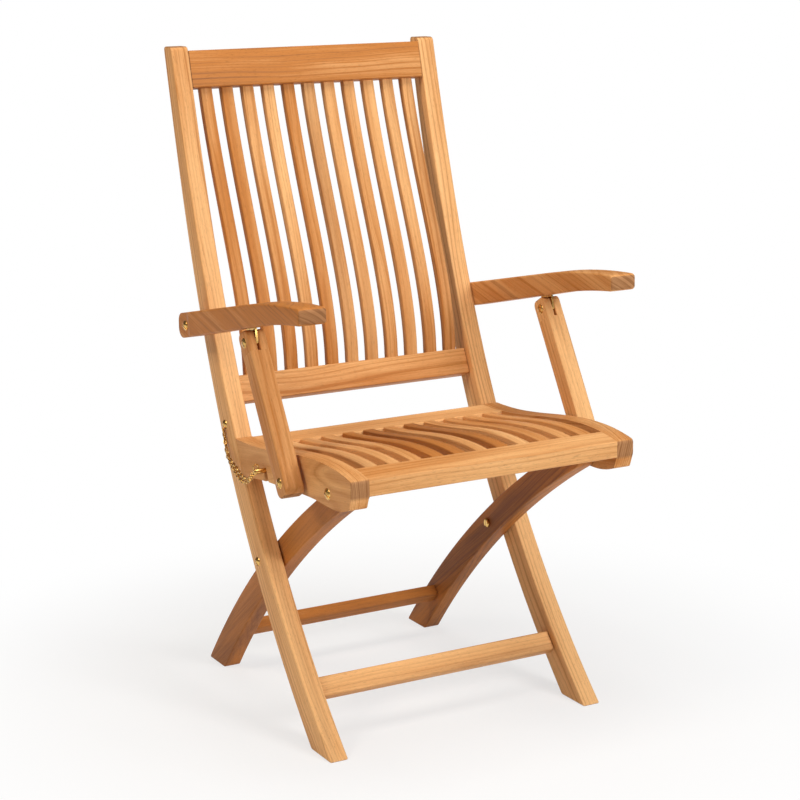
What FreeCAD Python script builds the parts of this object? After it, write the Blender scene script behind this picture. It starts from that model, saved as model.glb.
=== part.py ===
import FreeCAD, Part
import math
import os

# Folding teak armchair, open, in millimetres
# X runs across the chair, Y from the sitter's knees to the back, Z up from the floor

Vec = FreeCAD.Vector

# Back stiles: one bent board each side, leaning less and less on the way up
HALF_WIDTH = 240.0
STILE_THICKNESS = 29.5
STILE_HEIGHT = 1029.5
STILE_FOOT_Y = -231.5
LEAN_FOOT = 45.7
LEAN_TOP = 14.1
LEAN_POWER = 1.7
STILE_FOOT_WIDTH = 46.6
STILE_TOP_WIDTH = 29.6
TAPER_START = 403.0
STILE_TOP_ROUND = 7.0
FOOT_ROUND = 5.0

# Rails between the stiles, measured down from the stile's top and up from the seat
TOP_RAIL_DROP = 6.0
TOP_RAIL_HEIGHT = 58.0
TOP_RAIL_THICKNESS = 23.0
TOP_RAIL_RECESS = 0.6
LOWER_RAIL_GAP = 53.0
LOWER_RAIL_HEIGHT = 39.5
LOWER_RAIL_THICKNESS = 26.0
LOWER_RAIL_RECESS = 12.0
FRONT_STRETCHER_LOW = 80.5
FRONT_STRETCHER_HEIGHT = 24.0
STRETCHER_THICKNESS = 19.0
RAIL_ARRIS = 1.2
TENON_LENGTH = 18.0
TENON_SHOULDER = 5.0
SEAT_TENON_SHOULDER = 12.0
JOINT_CLEARANCE = 0.1

# Slats of the back and of the seat share one spacing
SLAT_COUNT = 11
SLAT_WIDTH = 20.0
BACK_SLAT_THICKNESS = 13.5
BACK_SLAT_RECESS_TOP = 10.0
BACK_SLAT_RECESS_LOW = 14.0
BACK_SLAT_BELLY = 23.5
BACK_SLAT_BELLY_SHARE = 0.296
SLAT_HOUSING = 12.0
SEAT_SLAT_THICKNESS = 18.0
SLAT_TENON_THICKNESS = 9.0
SLAT_TENON_INSET = 2.5
SEAT_RAIL_ARRIS = 2.0
SEAT_EDGE_MARGIN = 1.0
SLOPE_SPAN = 10.0

# Rear legs: bent boards just inside the stiles, which cross them and carry the seat
LAYER_GAP = 3.2
LEG_THICKNESS = 28.0
LEG_PIVOT_Y = 10.2
LEG_PIVOT_Z = 249.2
SEAT_PIVOT_Y = -238.1
SEAT_PIVOT_DEPTH = 42.95
LEG_ARC_RADIUS = 1712.0
LEG_TOP_WIDTH = 39.0
LEG_FOOT_WIDTH = 49.0
LEG_TRIM = 25.0
REAR_STRETCHER_DISTANCE = 553.0
REAR_STRETCHER_HEIGHT = 25.0

# Seat frame
SEAT_RAIL_THICKNESS = 29.0
SEAT_REAR_HEIGHT = 432.0
SEAT_RISE = 27.5
SEAT_DIP_Y = 60.0
SEAT_CREST_Y = -232.0
SEAT_NOSE_Y = -313.5
SEAT_NOSE_DROP = 8.5
SEAT_NOSE_ROUND = 6.0
SEAT_BACK_GAP = 1.0
FRONT_RAIL_DEPTH = 45.0
FRONT_RAIL_THICKNESS = 26.0
REAR_RAIL_DEPTH = 62.0
REAR_RAIL_THICKNESS = 22.0
SEAT_RAIL_HEEL = 57.0
SEAT_RAIL_WAIST = 50.0
SEAT_RAIL_DEPTH = 60.3
SEAT_RAIL_NOSE = 43.0
SEAT_RAIL_NOSE_SETBACK = 8.0
SEAT_RAIL_BELLY_FRONT = 51.5
SEAT_RAIL_BELLY_BACK = 105.5
SEAT_RAIL_SLOPE_PLACE = 213.5
SEAT_RAIL_WAIST_PLACE = 295.5

# Arms: each outline is a straight and then an arc, as four places from the pivot
ARM_GAP = 1.0
ARM_WIDTH = 44.0
ARM_PIVOT_Y = 173.0
ARM_PIVOT_Z = 601.5
ARM_TOP = ((27.0, 15.5), (-243.0, 70.3), (-338.0, 84.6), (-424.0, 90.5))
ARM_UNDER = ((27.0, -25.5), (-263.0, 39.4), (-343.0, 55.5), (-424.0, 65.7))
ARM_TIP_ROUND = 7.0
ARM_END_TOP_ROUND = 12.0
ARM_END_UNDER_ROUND = 20.0
ARM_PARE_START = 29.0
ARM_PARE_SLOPE = 20.0
ARM_PARE_DEPTH = 6.0

# Struts between the arms and the seat
STRUT_GAP = 6.0
STRUT_THICKNESS = 30.5
STRUT_WIDTH = 33.0
STRUT_TOP_Y = -44.1
STRUT_TOP_DROP = 21.83
STRUT_FOOT_Y = -154.4
STRUT_FOOT_DEPTH = 36.68
STRUT_TOP_REACH = 17.0
STRUT_FOOT_REACH = 22.2
STRUT_FOOT_PLAY = 1.0
STRUT_TOP_ROUND = 10.0
STRUT_FOOT_ROUND = 13.0
STRUT_SLOT_DEPTH = 18.0
BLADE_THICKNESS = 3.5
BLADE_WIDTH = 30.0
BLADE_CLEARANCE = 0.4
BRACKET_PLATE_LENGTH = 46.0
BRACKET_PLATE_WIDTH = 18.0
BRACKET_PLATE_THICKNESS = 2.5
RECESS_REACH = 8.0
BLADE_TIP_SHARE = 0.42
PIN_SINK = 1.0

# Bolts, pins and washers
BOLT_RADIUS = 3.5
BOLT_CLEARANCE = 0.1
HEAD_HEIGHT = 3.6
HEAD_BEVEL = 2.4
ROUND_SIDES = 12
HEXAGON_SIDES = 6
LEG_HEAD_RADIUS = 7.5
SEAT_HEAD_RADIUS = 9.0
STRUT_HEAD_RADIUS = 8.5
ARM_HEAD_RADIUS = 8.0
ARM_HEAD_STANDOFF = 0.3
NUT_RADIUS = 8.0
NUT_HEIGHT = 5.0
NUT_BEVEL = 1.8
WASHER_RADIUS = 9.0
WASHER_PLAY = 0.2
SIDE_CLEARANCE = 0.3
END_CLEARANCE = 0.5
SCREW_END_COVER = 4.0
CUTTER_REACH = 60.0
CHAIN_SCREW_Y = 119.7
CHAIN_SCREW_Z = 446.8

# Seat lock: a plate on each stile holds a pin that the notched seat rail drops over
LOCK_PIN_Y = -27.0
LOCK_PIN_DEPTH = 33.1
LOCK_PIN_RADIUS = 4.0
LOCK_PIN_REACH = 18.0
LOCK_PLATE_THICKNESS = 2.4
LOCK_PLATE_HALF_HEIGHT = 8.5
LOCK_PLATE_DROP = 17.0
LOCK_PLATE_ROOT_SHARE = 0.55
LOCK_PLATE_CORNER_SHARE = 0.45
PLATE_SCREW_RADIUS = 2.5
PLATE_SCREW_LENGTH = 18.0
PLATE_SCREW_SPREAD = 7.0
NOTCH_CLEARANCE = 0.5
NOTCH_SLANT = 22.0
NOTCH_FLARE = 1.5
EYE_RADIUS = 4.2
EYE_WIRE = 1.1
EYE_SETBACK = 4.0
EYE_SINK = 1.2

# Safety chain: it hangs outside the stile from its screw to the lock pin, lowest nearer to the screw
CHAIN_START_GAP = 3.5
CHAIN_END_GAP = 15.5
CHAIN_START_DROP = 9.3
CHAIN_END_DROP = 10.5
CHAIN_END_SETBACK = 10.0
CHAIN_SAG = 30.0
CHAIN_SKEW = 0.72
LINK_LENGTH = 15.0
LINK_WIDTH = 5.8
LINK_WIRE = 1.4
LINK_PLAY = 0.5

STILE_INNER = HALF_WIDTH - STILE_THICKNESS
LEG_OUTER = STILE_INNER - LAYER_GAP
LEG_INNER = LEG_OUTER - LEG_THICKNESS
SEAT_RAIL_INNER = HALF_WIDTH - SEAT_RAIL_THICKNESS
SLAT_GAP = (2 * STILE_INNER - SLAT_COUNT * SLAT_WIDTH) / (SLAT_COUNT + 1)
SLAT_PITCH = SLAT_GAP + SLAT_WIDTH
ARM_INNER = HALF_WIDTH + ARM_GAP
ARM_OUTER = ARM_INNER + ARM_WIDTH
STRUT_INNER = HALF_WIDTH + STRUT_GAP
STRUT_OUTER = STRUT_INNER + STRUT_THICKNESS


# Curves and boards

def stations(start, end, count):
    """Places at equal steps, both ends among them."""
    return [start + (end - start) * i / count for i in range(count + 1)]


def side_point(y, z):
    return Vec(0, y, z)


def smooth(points):
    """Edge of a curve through side-view points."""
    curve = Part.BSplineCurve()
    curve.interpolate([side_point(y, z) for y, z in points])
    return curve.toShape()


def straight(*points):
    """Edges of straight lines through side-view points."""
    ends = [side_point(y, z) for y, z in points]
    return [Part.makeLine(a, b) for a, b in zip(ends, ends[1:])]


def bowed(points):
    """Edges of arcs through side-view points, each from one point over the next to the one after."""
    places = [side_point(y, z) for y, z in points]
    return [Part.Arc(*places[i:i + 3]).toShape() for i in range(0, len(places) - 2, 2)]


def board(edges, x_low, x_high):
    """Board with a side outline, between two planes across the chair."""
    face = Part.Face(Part.Wire(edges))
    face.translate(Vec(x_low, 0, 0))
    return face.extrude(Vec(x_high - x_low, 0, 0))


def rod(x_low, x_high, y, z, radius):
    """Round bar along X."""
    return Part.makeCylinder(radius, x_high - x_low, Vec(x_low, y, z), Vec(1, 0, 0))


def corners_about(y, z, radius, sides):
    """Closed side-view outline with equal sides about a point."""
    turns = [2 * math.pi * i / sides for i in range(sides + 1)]
    return [(y + radius * math.cos(a), z + radius * math.sin(a)) for a in turns]


def facetted(x_low, x_high, y, z, radius, sides):
    """Bar along X with flat sides, as wide as this from its middle to each corner."""
    return board(straight(*corners_about(y, z, radius, sides)), x_low, x_high)


def bevelled(bar, x_end, width):
    """The same bar with the outline of its end at this X bevelled."""
    rim = [e for e in bar.Edges if abs(e.BoundBox.XMin - x_end) + abs(e.BoundBox.XMax - x_end) < 0.01]
    return bar.makeChamfer(width, rim)


def mirrored(shape):
    """The same piece on the other side of the chair."""
    return shape.mirror(Vec(0, 0, 0), Vec(1, 0, 0))


def along_x(edge):
    """True for an edge that runs straight across the chair."""
    box = edge.BoundBox
    return box.YLength < 0.01 and box.ZLength < 0.01


def round_corners(solid, corners):
    """Rounds the cross edges that are nearest to each (y, z, radius)."""
    for y, z, radius in corners:
        cross = [e for e in solid.Edges if along_x(e)]
        nearest = min(cross, key=lambda e: math.hypot(e.BoundBox.YMin - y, e.BoundBox.ZMin - z))
        solid = solid.makeFillet(radius, [nearest])
    return solid


# Shape of the stiles

def lean(z):
    """Lean of a stile's front edge from the vertical, in radians: less with every height."""
    share = max(0.0, 1.0 - z / STILE_HEIGHT)
    return math.radians(LEAN_TOP + (LEAN_FOOT - LEAN_TOP) * share ** LEAN_POWER)


def stile_front(z):
    """Y of a stile's front edge: the tangent of the lean, summed up from the floor."""
    middles = [z * (i + 0.5) / 40 for i in range(40)]
    return STILE_FOOT_Y + sum(math.tan(lean(middle)) for middle in middles) * z / 40


def stile_width(z):
    share = max(0.0, (z - TAPER_START) / (STILE_HEIGHT - TAPER_START))
    return STILE_FOOT_WIDTH + (STILE_TOP_WIDTH - STILE_FOOT_WIDTH) * share


def stile_rear(z):
    return stile_front(z) + stile_width(z) / math.cos(lean(z))


def behind_front(z, depth):
    """Side-view point this deep behind the stile's front edge, square to it."""
    return stile_front(z) + depth * math.cos(lean(z)), z - depth * math.sin(lean(z))


def stile():
    """Right stile without its mortises."""
    heights = stations(0.0, TAPER_START, 4) + stations(TAPER_START, STILE_HEIGHT, 4)[1:]
    front = [(stile_front(z), z) for z in heights]
    rear = [(stile_rear(z), z) for z in reversed(heights)]
    edges = bowed(front) + straight(front[-1], rear[0]) + bowed(rear) + straight(rear[-1], front[0])
    solid = board(edges, STILE_INNER, HALF_WIDTH)
    corners = (
        (*front[-1], STILE_TOP_ROUND),
        (*rear[0], STILE_TOP_ROUND),
        (*rear[-1], FOOT_ROUND),
        (*front[0], FOOT_ROUND),
    )
    return round_corners(solid, corners)


# Cross rails with a tenon at each end

def leaning_box(middle, angle, height, thickness, half_length):
    """Bar across the chair: height is along the lean, thickness square to it."""
    y, z = middle
    bar = Part.makeBox(2 * half_length, thickness, height, Vec(-half_length, -thickness / 2, -height / 2))
    bar.rotate(Vec(0, 0, 0), Vec(1, 0, 0), -math.degrees(angle))
    bar.translate(Vec(0, y, z))
    return bar


def tenoned_rail(middle, angle, height, thickness, half_length):
    """Rail with its two tenons, and the block that cuts their mortises."""
    rail = leaning_box(middle, angle, height, thickness, half_length)
    rail = rail.makeChamfer(RAIL_ARRIS, [e for e in rail.Edges if along_x_long(e)])
    reach = half_length + TENON_LENGTH
    tenon_height = height - 2 * TENON_SHOULDER
    tenon_thickness = thickness - 2 * TENON_SHOULDER
    tenons = leaning_box(middle, angle, tenon_height, tenon_thickness, reach)
    grow = 2 * JOINT_CLEARANCE
    reach += JOINT_CLEARANCE
    mortises = leaning_box(middle, angle, tenon_height + grow, tenon_thickness + grow, reach)
    return rail.fuse(tenons).removeSplitter(), mortises


def along_x_long(edge):
    return along_x(edge) and edge.BoundBox.XLength > STILE_INNER


def stile_rail(low, rise, recess, thickness):
    """Rail between the stiles whose front face rises this far from its low edge."""
    z = low + rise / 2
    angle = lean(z)
    height = rise / math.cos(angle)
    return tenoned_rail(behind_front(z, recess + thickness / 2), angle, height, thickness, STILE_INNER)


TOP_RAIL_LOW = STILE_HEIGHT - TOP_RAIL_DROP - TOP_RAIL_HEIGHT
LOWER_RAIL_LOW = SEAT_REAR_HEIGHT + LOWER_RAIL_GAP
LOWER_RAIL_HIGH = LOWER_RAIL_LOW + LOWER_RAIL_HEIGHT


# Back slats

def back_slat_depth(z):
    """Depth of the slats' front behind the stile fronts: a straight line less a smooth belly."""
    share = min(1.0, max(0.0, (z - LOWER_RAIL_HIGH) / (TOP_RAIL_LOW - LOWER_RAIL_HIGH)))
    flat = BACK_SLAT_RECESS_LOW + (BACK_SLAT_RECESS_TOP - BACK_SLAT_RECESS_LOW) * share
    bend = math.log(0.5) / math.log(BACK_SLAT_BELLY_SHARE)
    return flat - BACK_SLAT_BELLY * math.sin(math.pi * share ** bend) ** 1.5


def back_slat(number):
    """Bent slat whose ends are housed in the two rails."""
    seen = stations(LOWER_RAIL_HIGH, TOP_RAIL_LOW, 8)
    housed = (LOWER_RAIL_HIGH - SLAT_HOUSING, TOP_RAIL_LOW + SLAT_HOUSING)

    def side(heights, depth):
        return [behind_front(z, back_slat_depth(z) + depth) for z in heights]

    front = side(seen, 0.0)
    rear = side(reversed(seen), BACK_SLAT_THICKNESS)
    front_ends = side(housed, 0.0)
    rear_ends = side(housed, BACK_SLAT_THICKNESS)
    edges = bowed(front) + straight(front[-1], front_ends[1], rear_ends[1], rear[0])
    edges += bowed(rear) + straight(rear[-1], rear_ends[0], front_ends[0], front[0])
    left = -STILE_INNER + SLAT_GAP + number * SLAT_PITCH
    return board(edges, left, left + SLAT_WIDTH)


# Rear legs

def leg_centre():
    """Centre of the arc that the leg's centre line follows through both of its pivots."""
    half = 0.5 * math.hypot(LEG_PIVOT_Y - SEAT_PIVOT_Y, LEG_PIVOT_Z - SEAT_PIVOT_Z)
    chord = math.atan2(LEG_PIVOT_Z - SEAT_PIVOT_Z, LEG_PIVOT_Y - SEAT_PIVOT_Y)
    sagitta = math.sqrt(LEG_ARC_RADIUS ** 2 - half ** 2)
    middle = ((LEG_PIVOT_Y + SEAT_PIVOT_Y) / 2, (LEG_PIVOT_Z + SEAT_PIVOT_Z) / 2)
    return middle[0] + sagitta * math.sin(chord), middle[1] - sagitta * math.cos(chord)


def leg_start():
    """Angle of the seat pivot about the centre of the leg's arc."""
    y, z = leg_centre()
    return math.atan2(SEAT_PIVOT_Z - z, SEAT_PIVOT_Y - y)


def leg_length():
    """Length of the leg's blank: along the centre line to the floor, and what the level cut takes off."""
    floor = math.asin(-leg_centre()[1] / LEG_ARC_RADIUS)
    return (leg_start() - floor) * LEG_ARC_RADIUS + LEG_TRIM


def leg_frame(distance):
    """Point of the leg's centre line this far from the seat pivot, and its outward normal."""
    y, z = leg_centre()
    angle = leg_start() - distance / LEG_ARC_RADIUS
    normal = (math.cos(angle), math.sin(angle))
    return (y + LEG_ARC_RADIUS * normal[0], z + LEG_ARC_RADIUS * normal[1]), normal


def leg_edge(distance, side):
    """Point on the upper (side 1) or lower (side -1) edge of the leg."""
    (y, z), normal = leg_frame(distance)
    half = (LEG_TOP_WIDTH + (LEG_FOOT_WIDTH - LEG_TOP_WIDTH) * distance / leg_length()) / 2
    return side_point(y + side * half * normal[0], z + side * half * normal[1])


def rear_leg():
    """Right rear leg: two arcs, a round head at the seat pivot and a foot cut level with the floor."""
    places = stations(0.0, leg_length(), 2)
    upper = [leg_edge(d, 1) for d in places]
    lower = [leg_edge(d, -1) for d in places]
    (y, z), normal = leg_frame(0.0)
    crown = side_point(y - normal[1] * LEG_TOP_WIDTH / 2, z + normal[0] * LEG_TOP_WIDTH / 2)
    edges = [
        Part.Arc(*upper).toShape(),
        Part.makeLine(upper[2], lower[2]),
        Part.Arc(*reversed(lower)).toShape(),
        Part.Arc(lower[0], crown, upper[0]).toShape(),
    ]
    solid = board(edges, LEG_INNER, LEG_OUTER)
    box = solid.BoundBox
    corner = Vec(LEG_INNER, box.YMin, -CUTTER_REACH)
    solid = solid.cut(Part.makeBox(LEG_THICKNESS, box.YLength, CUTTER_REACH, corner))
    foot = [e.BoundBox.YMin for e in solid.Edges if along_x(e) and e.BoundBox.ZMax < 0.01]
    solid = round_corners(solid, ((min(foot), 0.0, FOOT_ROUND), (max(foot), 0.0, FOOT_ROUND)))
    solid = solid.cut(bolt_hole(LEG_PIVOT_Y, LEG_PIVOT_Z, BOLT_RADIUS + BOLT_CLEARANCE))
    return solid.cut(bolt_hole(SEAT_PIVOT_Y, SEAT_PIVOT_Z, BOLT_RADIUS + BOLT_CLEARANCE))


def bolt_hole(y, z, radius):
    """Bar that drills every layer of the right side at one pivot."""
    return rod(LEG_INNER - CUTTER_REACH, ARM_OUTER + CUTTER_REACH, y, z, radius)


def rear_stretcher():
    (y, z), normal = leg_frame(REAR_STRETCHER_DISTANCE)
    angle = -math.atan2(normal[1], normal[0])
    return tenoned_rail((y, z), angle, REAR_STRETCHER_HEIGHT, STRETCHER_THICKNESS, LEG_INNER)


# Seat

def seat_top(y):
    """Height of the seat: a cosine rise from the back to the crest, then a falling nose."""
    share = min(1.0, max(0.0, (SEAT_DIP_Y - y) / (SEAT_DIP_Y - SEAT_CREST_Y)))
    fall = max(0.0, (SEAT_CREST_Y - y) / (SEAT_CREST_Y - SEAT_NOSE_Y))
    rise = SEAT_RISE * (1 - math.cos(math.pi * share)) / 2
    return SEAT_REAR_HEIGHT + rise - SEAT_NOSE_DROP * fall ** 2


def seat_rear_end(z):
    return stile_front(z) - SEAT_BACK_GAP / math.cos(lean(z))


SEAT_REAR_Y = seat_rear_end(SEAT_REAR_HEIGHT)
SLAT_FRONT_Y = SEAT_NOSE_Y + FRONT_RAIL_DEPTH
SLAT_REAR_Y = SEAT_REAR_Y - REAR_RAIL_DEPTH
SEAT_PIVOT_Z = seat_top(SEAT_PIVOT_Y) - SEAT_PIVOT_DEPTH
STRUT_FOOT_Z = seat_top(STRUT_FOOT_Y) - STRUT_FOOT_DEPTH
LOCK_PIN_Z = seat_top(LOCK_PIN_Y) - LOCK_PIN_DEPTH


def waved(y_rear, y_front, drop):
    """Edges along the seat's wave at this drop: flat, then arcs up to the crest, then the falling nose."""
    marks = [y for y in (SEAT_DIP_Y, SEAT_CREST_Y) if y_front < y < y_rear]
    ends = [y_rear] + marks + [y_front]
    edges = []
    for start, end in zip(ends, ends[1:]):
        if start > SEAT_DIP_Y:
            edges += straight((start, SEAT_REAR_HEIGHT - drop), (end, SEAT_REAR_HEIGHT - drop))
        elif end < SEAT_CREST_Y:
            edges += bowed([(y, seat_top(y) - drop) for y in stations(start, end, 2)])
        else:
            edges += bowed([(y, seat_top(y) - drop) for y in stations(start, end, 8)])
    return edges


def seat_strip(y_rear, y_front, thickness, x_low, x_high):
    """Board that follows the seat's wave between two places, this thick."""
    edges = waved(y_rear, y_front, 0.0) + waved(y_rear, y_front, thickness)
    for y in (y_rear, y_front):
        edges += straight((y, seat_top(y)), (y, seat_top(y) - thickness))
    return board(Part.__sortEdges__(edges), x_low, x_high)


def seat_side_rail():
    """Right seat rail: waved top, hollowed underside, round nose, a notch over the lock pin."""
    heel = SEAT_REAR_HEIGHT - SEAT_RAIL_HEEL
    nose_top = (SEAT_NOSE_Y, seat_top(SEAT_NOSE_Y))
    depths = (
        (SEAT_RAIL_BELLY_FRONT, SEAT_RAIL_DEPTH),
        (SEAT_RAIL_BELLY_BACK, SEAT_RAIL_DEPTH),
        (SEAT_RAIL_SLOPE_PLACE, (SEAT_RAIL_DEPTH + SEAT_RAIL_WAIST) / 2),
        (SEAT_RAIL_WAIST_PLACE, SEAT_RAIL_WAIST),
    )
    under = [(SEAT_NOSE_Y + SEAT_RAIL_NOSE_SETBACK, nose_top[1] - SEAT_RAIL_NOSE)]
    under += [(SEAT_NOSE_Y + place, seat_top(SEAT_NOSE_Y + place) - depth) for place, depth in depths]
    under += [(seat_rear_end(heel), heel)]
    nose = (SEAT_NOSE_Y, nose_top[1] - SEAT_RAIL_NOSE / 2)
    edges = waved(SEAT_REAR_Y, SEAT_NOSE_Y, 0.0) + straight(nose_top, nose, under[0])
    edges += [smooth(under)] + straight(under[-1], (SEAT_REAR_Y, seat_top(SEAT_REAR_Y)))
    solid = board(edges, SEAT_RAIL_INNER, HALF_WIDTH)
    corners = (
        (*nose_top, SEAT_NOSE_ROUND),
        (*nose, SEAT_RAIL_NOSE / 3),
        (*under[0], SEAT_NOSE_ROUND),
    )
    solid = round_corners(solid, corners)
    solid = solid.cut([lock_notch(), strut_foot_insert()])
    return solid.cut(bolt_hole(SEAT_PIVOT_Y, SEAT_PIVOT_Z, BOLT_RADIUS))


def strut_foot_insert():
    """Six-sided insert in the right seat rail that the strut's lower bolt screws into."""
    x_high = HALF_WIDTH - END_CLEARANCE
    return facetted(SEAT_RAIL_INNER + SCREW_END_COVER, x_high, STRUT_FOOT_Y, STRUT_FOOT_Z, BOLT_RADIUS, HEXAGON_SIDES)


def lock_notch():
    """Cutter for the notch: round over the pin, open downwards along the path of the lift."""
    radius = LOCK_PIN_RADIUS + NOTCH_CLEARANCE
    mouth = radius + NOTCH_FLARE
    slant = math.radians(NOTCH_SLANT)
    way = (-math.sin(slant), -math.cos(slant))
    across = (-way[1], way[0])

    def place(distance, side):
        y = LOCK_PIN_Y + distance * way[0] + side * across[0]
        return y, LOCK_PIN_Z + distance * way[1] + side * across[1]

    outline = [place(0, radius), place(CUTTER_REACH, mouth), place(CUTTER_REACH, -mouth), place(0, -radius)]
    slot = board(straight(*outline, outline[0]), SEAT_RAIL_INNER, HALF_WIDTH)
    return slot.fuse(rod(SEAT_RAIL_INNER, HALF_WIDTH, LOCK_PIN_Y, LOCK_PIN_Z, radius))


def beyond_rear_end():
    """Block behind the seat's rear end, which slopes like the stile in front of which it stops."""
    high = SEAT_REAR_HEIGHT + SEAT_BACK_GAP
    low = SEAT_REAR_HEIGHT - SEAT_RAIL_HEEL
    far = SEAT_REAR_Y + CUTTER_REACH
    outline = [(seat_rear_end(low), low), (seat_rear_end(high), high), (far, high), (far, low)]
    return board(straight(*outline, outline[0]), -HALF_WIDTH, HALF_WIDTH)


def seat_cross_rail(y_rear, y_front, thickness, cutters=()):
    """Front or rear rail of the seat, and the block that cuts its mortises in the side rails."""
    middle = (y_rear + y_front) / 2
    rail = seat_strip(y_rear, y_front, thickness, -SEAT_RAIL_INNER, SEAT_RAIL_INNER)
    for cutter in cutters:
        rail = rail.cut(cutter)
    low, high = y_front + SEAT_EDGE_MARGIN, y_rear - SEAT_EDGE_MARGIN
    ends = [e for e in rail.Edges if along_x_long(e) and not low < e.BoundBox.YMin < high]
    rail = rail.makeChamfer(SEAT_RAIL_ARRIS, ends)
    centre = (middle, seat_top(middle) - thickness / 2)
    reach = SEAT_RAIL_INNER + TENON_LENGTH
    depth = y_rear - y_front - 2 * SEAT_TENON_SHOULDER
    height = thickness - 3 * TENON_SHOULDER
    slope = math.atan2(seat_top(y_rear) - seat_top(y_front), y_rear - y_front)
    grow = 2 * JOINT_CLEARANCE
    tenons = leaning_box(centre, -slope, height, depth, reach)
    mortises = leaning_box(centre, -slope, height + grow, depth + grow, reach + JOINT_CLEARANCE)
    return rail.fuse(tenons).removeSplitter(), mortises


def slat_tenon(left, y_end, outward, grow):
    """Tenon block at one end of a seat slat, or its mortise when grown."""
    length = SLAT_HOUSING + grow
    y_low = y_end if outward > 0 else y_end - length
    slope = (seat_top(y_end + SLOPE_SPAN / 2) - seat_top(y_end - SLOPE_SPAN / 2)) / SLOPE_SPAN
    z = seat_top(y_end) + slope * outward * SLAT_HOUSING / 2 - SEAT_SLAT_THICKNESS / 2
    low = z - SLAT_TENON_THICKNESS / 2 - grow
    width = SLAT_WIDTH - 2 * SLAT_TENON_INSET + 2 * grow
    corner = Vec(left + SLAT_TENON_INSET - grow, y_low, low)
    return Part.makeBox(width, length, SLAT_TENON_THICKNESS + 2 * grow, corner)


def seat_slat(number):
    left = -STILE_INNER + SLAT_GAP + number * SLAT_PITCH
    solid = seat_strip(SLAT_REAR_Y, SLAT_FRONT_Y, SEAT_SLAT_THICKNESS, left, left + SLAT_WIDTH)
    solid = solid.fuse([slat_tenon(left, SLAT_REAR_Y, 1, 0.0), slat_tenon(left, SLAT_FRONT_Y, -1, 0.0)])
    return solid.removeSplitter()


def slat_mortises(y_end, outward):
    lefts = [-STILE_INNER + SLAT_GAP + i * SLAT_PITCH for i in range(SLAT_COUNT)]
    return [slat_tenon(left, y_end, outward, JOINT_CLEARANCE) for left in lefts]


# Arms, their brackets and the struts

def arm_place(place):
    """Side-view point at a place that is measured from the arm's pivot."""
    return ARM_PIVOT_Y + place[0], ARM_PIVOT_Z + place[1]


def arm_under(y):
    """Height of the straight part of an arm's underside."""
    (y0, z0), (y1, z1) = (arm_place(place) for place in ARM_UNDER[:2])
    return z0 + (z1 - z0) * (y - y0) / (y1 - y0)


def pared_away(slope):
    """Cutter for the arm's thinner rear end: a slanted shoulder square to the arm, then a flat."""
    start = ARM_PIVOT_Y - ARM_PARE_START
    flat = ARM_OUTER - ARM_PARE_DEPTH
    outline = Part.makePolygon([
        Vec(ARM_OUTER, start, -CUTTER_REACH),
        Vec(flat, start + ARM_PARE_SLOPE, -CUTTER_REACH),
        Vec(flat, start + 2 * CUTTER_REACH, -CUTTER_REACH),
        Vec(ARM_OUTER, start + 2 * CUTTER_REACH, -CUTTER_REACH),
        Vec(ARM_OUTER, start, -CUTTER_REACH),
    ])
    wedge = Part.Face(outline).extrude(Vec(0, 0, 2 * CUTTER_REACH))
    wedge.rotate(Vec(0, ARM_PIVOT_Y, 0), Vec(1, 0, 0), -math.degrees(slope))
    wedge.translate(Vec(0, 0, ARM_PIVOT_Z))
    return wedge


def arm():
    """Right arm: swept profile, round tip and end, outer side pared back at the bolt."""
    top = [arm_place(place) for place in ARM_TOP]
    under = [arm_place(place) for place in reversed(ARM_UNDER)]
    edges = straight(*top[:2]) + bowed(top[1:]) + straight(top[-1], under[0])
    edges += bowed(under[:3]) + straight(*under[2:], top[0])
    corners = (
        (*top[-1], ARM_TIP_ROUND),
        (*under[0], ARM_TIP_ROUND),
        (*top[0], ARM_END_TOP_ROUND),
        (*under[-1], ARM_END_UNDER_ROUND),
    )
    solid = round_corners(board(edges, ARM_INNER, ARM_OUTER), corners)
    solid = solid.cut(pared_away(math.atan2(top[1][1] - top[0][1], top[0][0] - top[1][0])))
    return solid.cut(bolt_hole(ARM_PIVOT_Y, ARM_PIVOT_Z, BOLT_RADIUS + BOLT_CLEARANCE))


STRUT_TOP_Z = arm_under(STRUT_TOP_Y) - STRUT_TOP_DROP
BRACKET_SLOPE = math.atan2(arm_under(STRUT_TOP_Y - 1) - arm_under(STRUT_TOP_Y), -1)
STRUT_MIDDLE_X = STRUT_INNER + STRUT_THICKNESS / 2


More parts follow.
